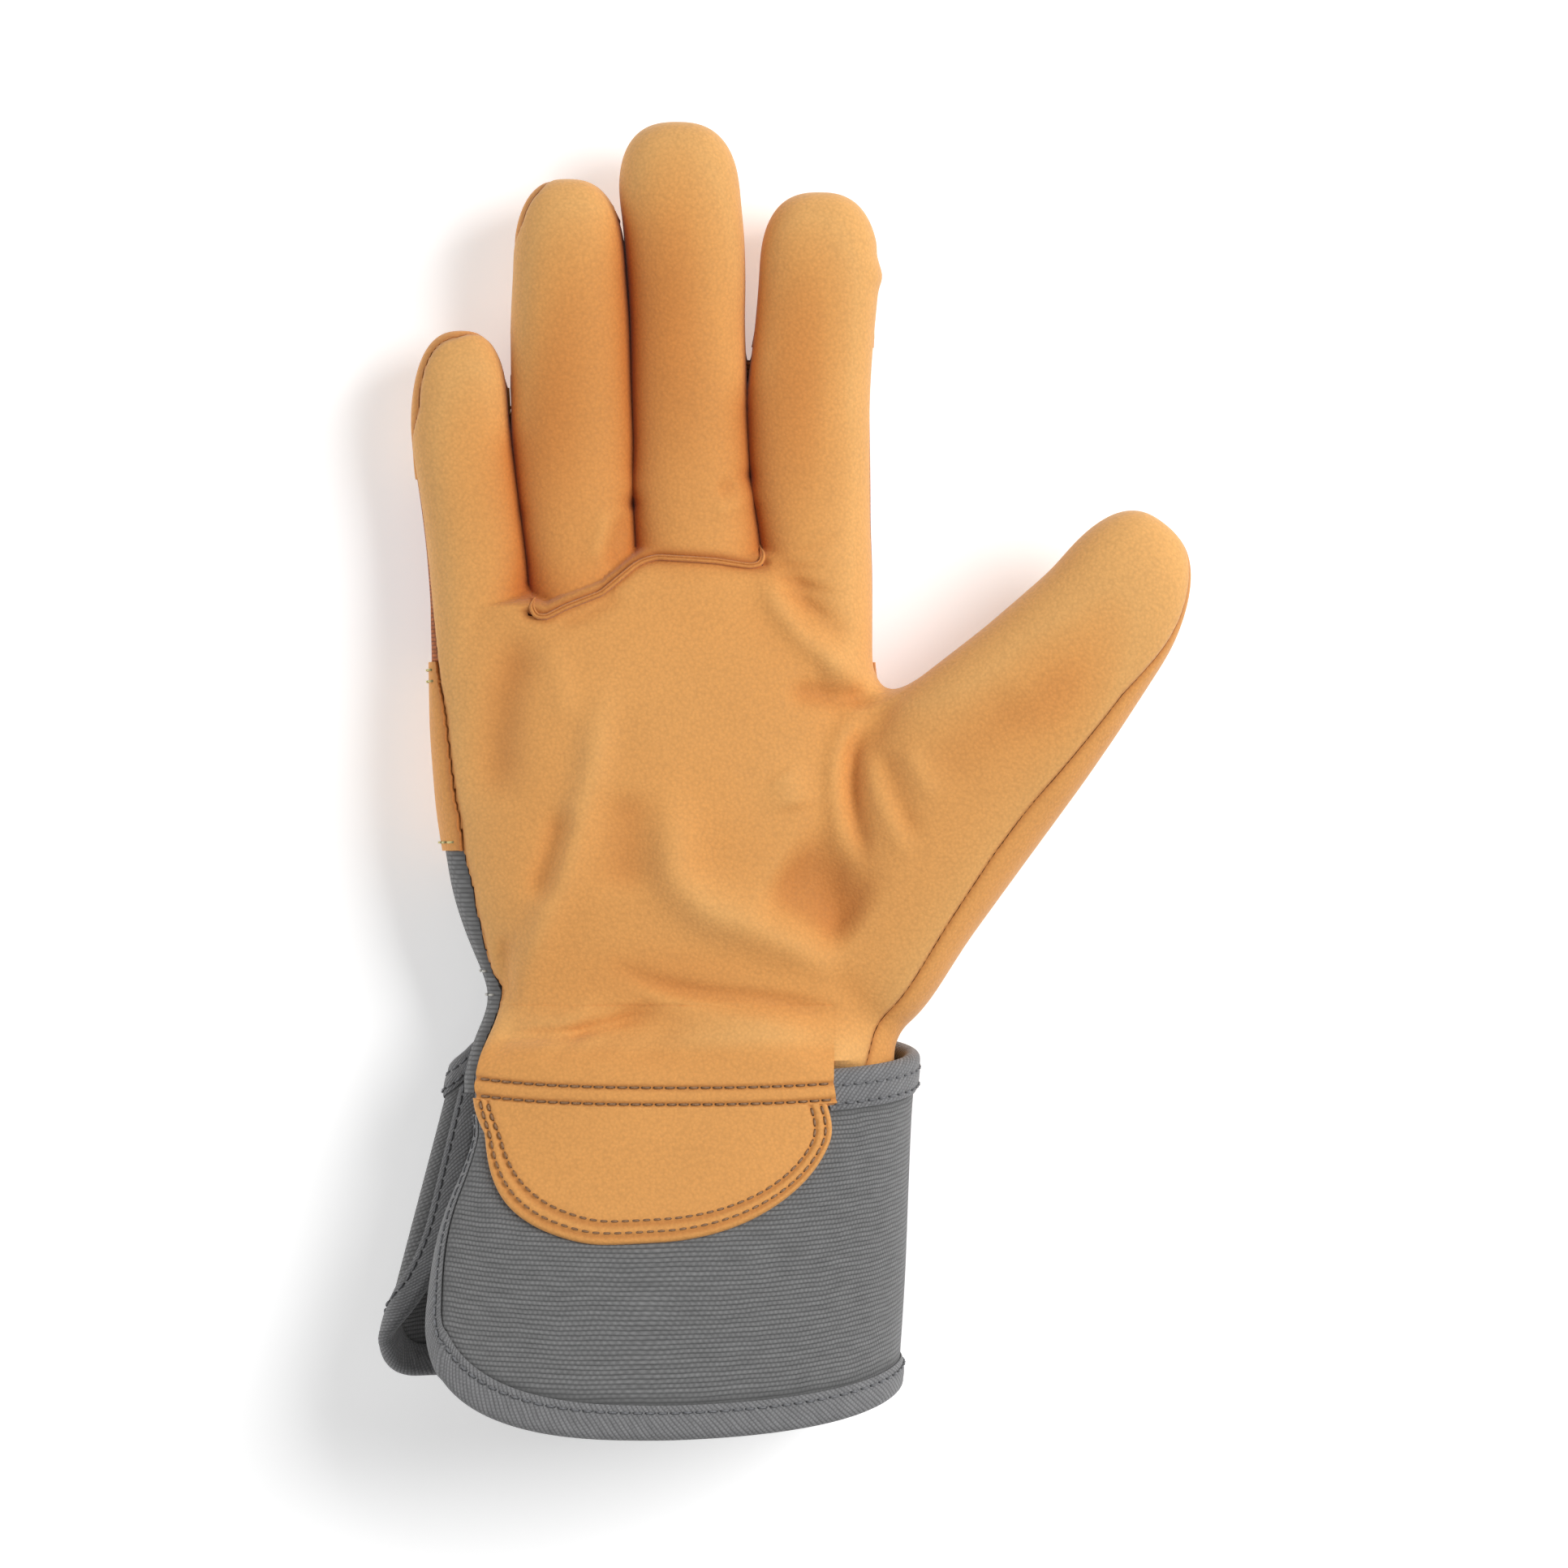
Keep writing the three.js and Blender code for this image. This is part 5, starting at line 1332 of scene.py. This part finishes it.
class GloveColours(bpy.types.PropertyGroup):
    """Colours of the glove's materials"""
    leather: colour_property("Leather", "Palm, fingers and patch", "#dd9c56")
    grey_canvas: colour_property("Grey canvas", "Back of the hand and cuff", "#757575")
    rust_canvas: colour_property("Rust canvas", "Backs of the fingers", "#b4683c")
    grey_tape: colour_property("Grey tape", "Bindings of the cuff", "#7b7b7c")
    brown_thread: colour_property("Brown thread", "Stitches of the hem and the patch", "#95704e")
    pale_thread: colour_property("Pale thread", "Stitches of the knuckle strap", "#e3d58f")
    grey_thread: colour_property("Grey thread", "Stitches of the bindings", "#77787b")
    elastic_thread: colour_property("Elastic thread", "Stitches that gather the wrist", "#cfcdc6")


class GloveSizes(bpy.types.PropertyGroup):
    """Sizes of the glove's cloth, leather and stitches"""
    leather_wall: length_property("Leather", "Thickness of the leather", 0.0013)
    canvas_wall: length_property("Canvas", "Thickness of the canvas", 0.0012)
    warp_pitch: length_property("Warp pitch", "Distance between the grey canvas's warp threads", 0.00097)
    weft_pitch: length_property("Weft pitch", "Distance between its weft threads", 0.00098)
    stitch_pitch: length_property("Stitch pitch", "Length of one stitch of the hem", 0.0025)
    thread: length_property("Thread", "Thickness of the sewing thread", 0.0005)
    camera_height: length_property("Camera height", "Height of the camera over the glove", 1.9)


def leather_mm():
    return bpy.context.scene.glove_sizes.leather_wall / MM


def canvas_mm():
    return bpy.context.scene.glove_sizes.canvas_wall / MM


class PalmMaker(bpy.types.Operator):
    """Palm panel: palm, little finger, index finger and thumb fronts, with the hem over the cuff"""
    bl_idname = "glove.make_palm"
    bl_label = "Palm"

    def execute(self, context):
        points, triangles = cut(*hand_skin("palm"), lambda x, y, z: look_up(PALM_CUT, x, y) - PANEL_GAP)
        points, triangles = cut(points, triangles, lambda x, y, z: np.maximum(
            y - HEM_START + 0.4, x - HEM_RIGHT + HEM_OVERLAP))
        hem_points, hem_faces, hem_shade, hem_side = hem_sheet(leather_mm())
        shade = seam_shade(points)
        # Past the hem's right end the leather climbs with the hem, and tucks in behind the rim
        climb = hem_side[:, 2] - palm_height(hem_side[:, 0], hem_side[:, 1])
        climb = np.interp(-points[:, 1], -hem_side[:, 1], climb)
        climb = climb * (1 - smooth((points[:, 0] - HEM_RIGHT) / 9.5)) * smooth((points[:, 2] - 24) / 8)
        climb = climb * (1 - smooth((-57.6 - points[:, 1]) / 3.2))
        under = 0.3 * smooth((HEM_RIGHT - points[:, 0]) / HEM_OVERLAP)
        points[:, 2] += np.where(points[:, 1] < HEM_START, climb - under, 0)
        points, triangles = shell_of(points, triangles, leather_mm())
        # Painted light and shade on the hem, fading to level leather below the wrist
        hem_hollow = mix(hollow_shade(hem_points), 0.5, smooth((-52 - hem_points[:, 1]) / 5))
        put("palm_leather", np.concatenate([points, hem_points]), [triangles, hem_faces + len(points)],
            "leather", ["palm_panel"],
            dict(seam=np.concatenate([shade, shade, hem_shade]),
                 hollow=np.concatenate([hollow_shade(points), hem_hollow])))
        return {"FINISHED"}


class FingerFrontMaker(bpy.types.Operator):
    """Fronts of the ring and middle fingers, and the welt where they are sewn to the palm"""
    bl_idname = "glove.make_finger_fronts"
    bl_label = "Finger fronts"

    def execute(self, context):
        for name, table in (("ring", RING_CUT), ("middle", MIDDLE_CUT)):
            skin = cut(*hand_skin(name), lambda x, y, z: look_up(table, x, y) - PANEL_GAP)
            hand_piece(name + "_finger_leather", skin, leather_mm(), "leather", [name + "_finger_front"],
                       palm_side=True)
        points, faces, shade = finger_welt()
        put("welt_leather", points, faces, "leather", ["finger_welt"],
            dict(seam=shade, hollow=np.full(len(points), 0.6)))
        return {"FINISHED"}


def thumb_side(x, y):
    """Plan distance past the line that parts the thumb's back from the hand's."""
    distance, _, left = line_distance(x, y, THUMB_SIDE)
    return distance * left


class ThumbBackMaker(bpy.types.Operator):
    """Back of the thumb, in leather"""
    bl_idname = "glove.make_thumb_back"
    bl_label = "Thumb back"

    def execute(self, context):
        skin = cut(*hand_skin("all"), lambda x, y, z: thumb_side(x, y) - SEAM_GAP)
        hand_piece("thumb_back_leather", skin, leather_mm(), "leather", ["thumb_back"])
        return {"FINISHED"}


def hand_side():
    """The back's skin without the thumb's."""
    return cut(*hand_skin("all"), lambda x, y, z: -SEAM_GAP - thumb_side(x, y))


def cap_distance(x, y, name):
    """Plan distance inside a finger's cap: inside its column and past its hem."""
    return np.minimum(inside_distance(x, y, finger_columns()[name]), y - CAP_HEMS[name])


class FingertipMaker(bpy.types.Operator):
    """Leather caps on the backs of the four fingertips"""
    bl_idname = "glove.make_fingertips"
    bl_label = "Fingertip caps"

    def execute(self, context):
        back = hand_side()
        for name, hem in CAP_HEMS.items():
            skin = cut(*back, lambda x, y, z: cap_distance(x, y, name) - PANEL_GAP)
            hand_piece(
                name + "_fingertip_leather", skin, leather_mm(), "leather", [name + "_fingertip_back"],
                lift=lambda x, y, z: 0.4 * (1 - smooth((y - hem) / 9)) * smooth(-side_seam(x, y, z) / 2))
        return {"FINISHED"}


class FingerBackMaker(bpy.types.Operator):
    """Backs of the four fingers, in rust canvas"""
    bl_idname = "glove.make_finger_backs"
    bl_label = "Finger backs"

    def execute(self, context):
        skin = cut(*hand_side(), lambda x, y, z: y - STRAP_Y[1] - SEAM_GAP)
        skin = cut(*skin, lambda x, y, z: -SEAM_GAP - np.max(
            [cap_distance(x, y, name) for name in CAP_HEMS], axis=0))
        hand_piece("finger_backs_canvas", skin, canvas_mm(), "rust_canvas", ["finger_backs"])
        return {"FINISHED"}


class StrapMaker(bpy.types.Operator):
    """Leather strap across the knuckles"""
    bl_idname = "glove.make_strap"
    bl_label = "Knuckle strap"

    def execute(self, context):
        skin = cut(*hand_side(), lambda x, y, z: y - STRAP_Y[0])
        skin = cut(*skin, lambda x, y, z: STRAP_Y[1] - y)
        hand_piece("knuckle_strap_leather", skin, STRAP_WALL, "leather", ["knuckle_strap"],
                   lift=lambda x, y, z: np.full(x.shape, STRAP_PROUD), lowest=0.0)
        return {"FINISHED"}


class HandBackMaker(bpy.types.Operator):
    """Back of the hand, in grey canvas"""
    bl_idname = "glove.make_hand_back"
    bl_label = "Back of the hand"

    def execute(self, context):
        skin = cut(*hand_side(), lambda x, y, z: STRAP_Y[0] - SEAM_GAP - y)
        hand_piece("hand_back_canvas", skin, canvas_mm(), "grey_canvas", ["hand_back"])
        return {"FINISHED"}


class CuffMaker(bpy.types.Operator):
    """The cuff's sheet of stiffened canvas, open along its side"""
    bl_idname = "glove.make_cuff"
    bl_label = "Cuff"

    def execute(self, context):
        points, faces, uv, shade = cuff_sheet()
        put("cuff_canvas", points, faces, "grey_canvas", ["cuff_panel"], dict(seam=shade), uv)
        return {"FINISHED"}


class BindingMaker(bpy.types.Operator):
    """Folded tapes round the cuff's top edge and along its free edges"""
    bl_idname = "glove.make_bindings"
    bl_label = "Bindings"

    def execute(self, context):
        top = np.linspace(*TOP_TAPE, 190), np.zeros(190), np.tile([0.0, 1.0], (190, 1))
        for name, line, width, rows in (("edge", edge_line(), EDGE_TAPE_WIDTH, EDGE_TAPE_ROWS),
                                        ("top", top, TOP_TAPE_WIDTH, TOP_TAPE_ROWS)):
            points, faces, uv = tape_along(*line, width, rows)
            put(name + "_binding_tape", points, faces, "grey_tape", ["cuff_" + name + "_binding"], uv=uv)
        return {"FINISHED"}


class PatchMaker(bpy.types.Operator):
    """Leather patch on the palm side of the cuff"""
    bl_idname = "glove.make_patch"
    bl_label = "Pulse patch"

    def execute(self, context):
        points, faces, shade = pulse_patch()
        put("pulse_patch_leather", points, faces, "leather", ["pulse_patch"],
            dict(seam=shade, hollow=np.full(len(points), 0.45)))
        return {"FINISHED"}


class StitchMaker(bpy.types.Operator):
    """All the rows of stitches that show"""
    bl_idname = "glove.make_stitches"
    bl_label = "Stitches"

    def execute(self, context):
        sizes = context.scene.glove_sizes
        pitch, thick = sizes.stitch_pitch / MM, sizes.thread / MM / 2
        around = np.linspace(HEM["start"] + 0.004, HEM["end"] - 0.004, 200)
        rows = [stitches(*on_cuff(around, (0.9 + row) / CUFF_HEIGHT, LEATHER_LIFT + leather_mm() - 0.3),
                         pitch, thick=thick) for row in HEM_ROWS]
        put_stitches("hem_stitches", rows, "brown_thread")
        rows = [stitches(*self.patch_row(inset), pitch * 0.9, thick=thick) for inset in PATCH_ROWS]
        put_stitches("patch_stitches", rows, "brown_thread")
        on_tape = CUFF_HALF + TAPE_GAP + TAPE_WALL - 0.2
        around = np.linspace(TOP_TAPE[0] + 0.003, TOP_TAPE[1] - 0.003, 300)
        lines = [on_cuff(around, row / CUFF_HEIGHT, on_tape) for row in TOP_TAPE_ROWS]
        around, down, into = edge_line(0.8)
        lines += [on_cuff(around + row * into[:, 0] / CUFF_LENGTH,
                          down + row * into[:, 1] / CUFF_HEIGHT, on_tape) for row in EDGE_TAPE_ROWS]
        rows = [stitches(*line, FINE_PITCH, thick=thick * 0.9) for line in lines]
        put_stitches("binding_stitches", rows, "grey_thread")
        rows = [self.back_row(y, HAND_MIDDLE, (160, 380, 260), STRAP_PROUD + 0.05) for y in STRAP_ROWS]
        put_stitches("strap_stitches", rows, "pale_thread")
        rows = []
        for digit, hem in zip((LITTLE, RING, MIDDLE, INDEX), CAP_HEMS.values()):
            left, right, middle, _ = digit_section(digit, hem + CAP_ROW)
            rows.append(self.back_row(hem + CAP_ROW, ((left + right) / 2, middle), (190, 350, 120), 0.4))
        put_stitches("cap_stitches", rows, "pale_thread")
        rows = [self.back_row(y, HAND_MIDDLE, (150, 380, 260), 0.0) for y in WRIST_ROWS]
        put_stitches("wrist_stitches", rows, "elastic_thread")
        return {"FINISHED"}

    def back_row(self, y, center, turn, proud):
        """Stitches across the back of the hand in the plane at y, clear of the side seams. turn is
        the first angle about the centre, the last and how many there are."""
        line, up = back_section(y, center, np.linspace(*turn))
        clear = np.where((line[:, 0] < 0) & (y < 40), -0.9, -5.0)
        keep = (side_seam(*line.T) < clear) & (thumb_side(line[:, 0], line[:, 1]) < -0.8)
        line = line[keep] + up[keep] * proud
        line[:, 2] = np.maximum(line[:, 2], 0.3)
        thick = bpy.context.scene.glove_sizes.thread / MM / 2
        return stitches(line, up[keep], FINE_PITCH, thick=thick)

    def patch_row(self, inset):
        """Line at a distance inside the patch's curved edge, and the way out of the surface."""
        u = np.linspace(-1, 1, 600)
        s = mix(PATCH["start"], PATCH["end"], (u + 1) / 2) * CUFF_LENGTH
        q = (PATCH["top"] + patch_depth(u)) * CUFF_HEIGHT
        line = spread(np.stack([s, q], 1), 0.4)
        ahead = unit(np.gradient(line, axis=0))
        line = line + inset * np.stack([ahead[:, 1], -ahead[:, 0]], axis=1)
        line = line[(line[:, 1] > PATCH["top"] * CUFF_HEIGHT + 0.3)]
        return on_cuff(line[:, 0] / CUFF_LENGTH, line[:, 1] / CUFF_HEIGHT, LEATHER_LIFT + PATCH_WALL - 0.28)


# Soft boxes: name, place in metres, side and power
SOFTBOXES = [
    ("right_softbox", (0.95, 0.35, 1.15), 0.8, 21.5), ("left_softbox", (-1.2, -0.3, 0.5), 0.7, 6.8),
    ("far_softbox", (0.0, 1.4, 0.6), 0.8, 2.4), ("overhead_softbox", (-0.2, -0.3, 2.3), 1.2, 2.4),
]
# The photograph is this wide at the height of the palm, in metres
PHOTO_WIDTH, PALM_HEIGHT, SENSOR = 0.3323, 0.018, 36.0


class StageMaker(bpy.types.Operator):
    """Floor, soft light and the camera over the glove"""
    bl_idname = "glove.make_stage"
    bl_label = "Stage"

    def execute(self, context):
        scene = context.scene
        mesh = bpy.data.meshes.new("studio_floor")
        mesh.from_pydata([(-3, -3, 0), (3, -3, 0), (3, 3, 0), (-3, 3, 0)], [], [(0, 1, 2, 3)])
        mesh.materials.append(studio_floor("Matt white studio floor"))
        floor = bpy.data.objects.new("studio_floor", mesh)
        scene.collection.objects.link(floor)
        for name, place, size, power in SOFTBOXES:
            light = bpy.data.lights.new(name, "AREA")
            light.shape, light.size, light.energy = "SQUARE", size, power
            lamp = bpy.data.objects.new(name, light)
            lamp.location = place
            aim = np.array([0.0, 0.0, 0.02]) - np.array(place)
            yaw, tilt = math.atan2(aim[1], aim[0]), math.atan2(math.hypot(aim[0], aim[1]), -aim[2])
            lamp.rotation_euler = (tilt, 0, yaw - math.pi / 2)
            scene.collection.objects.link(lamp)
        world = bpy.data.worlds.new("studio_air")
        world.use_nodes = True
        world.node_tree.nodes["Background"].inputs["Color"].default_value = (1, 1, 1, 1)
        world.node_tree.nodes["Background"].inputs["Strength"].default_value = 0.15
        scene.world = world
        scene.view_settings.view_transform = "Standard"
        height = scene.glove_sizes.camera_height
        lens = bpy.data.cameras.new("camera_over_glove")
        lens.sensor_width = SENSOR
        lens.lens = SENSOR * height / PHOTO_WIDTH
        lens.clip_end = 20
        camera = bpy.data.objects.new("camera_over_glove", lens)
        camera.location = (0, 0, height + PALM_HEIGHT)
        scene.collection.objects.link(camera)
        scene.camera = camera
        return {"FINISHED"}


MAKERS = [StageMaker, PalmMaker, FingerFrontMaker, ThumbBackMaker, FingertipMaker, FingerBackMaker,
          StrapMaker, HandBackMaker, CuffMaker, BindingMaker, PatchMaker, StitchMaker]


class GlovePanel(bpy.types.Panel):
    """Sidebar panel that lists the glove's makers"""
    bl_idname = "VIEW3D_PT_work_glove"
    bl_label = "Work Glove"
    bl_space_type = "VIEW_3D"
    bl_region_type = "UI"
    bl_category = "Work Glove"

    def draw(self, context):
        for group in (context.scene.glove_sizes, context.scene.glove_colours):
            for key in group.__annotations__:
                self.layout.prop(group, key)
        for maker in MAKERS:
            self.layout.operator(maker.bl_idname)


CLASSES = [GloveColours, GloveSizes, *MAKERS, GlovePanel]


def register():
    for one in CLASSES:
        bpy.utils.register_class(one)
    bpy.types.Scene.glove_colours = PointerProperty(type=GloveColours)
    bpy.types.Scene.glove_sizes = PointerProperty(type=GloveSizes)


def unregister():
    del bpy.types.Scene.glove_sizes
    del bpy.types.Scene.glove_colours
    for one in reversed(CLASSES):
        bpy.utils.unregister_class(one)


def main():
    register()
    for maker in MAKERS:
        group, name = maker.bl_idname.split(".")
        getattr(getattr(bpy.ops, group), name)()


if __name__ == "__main__":
    main()
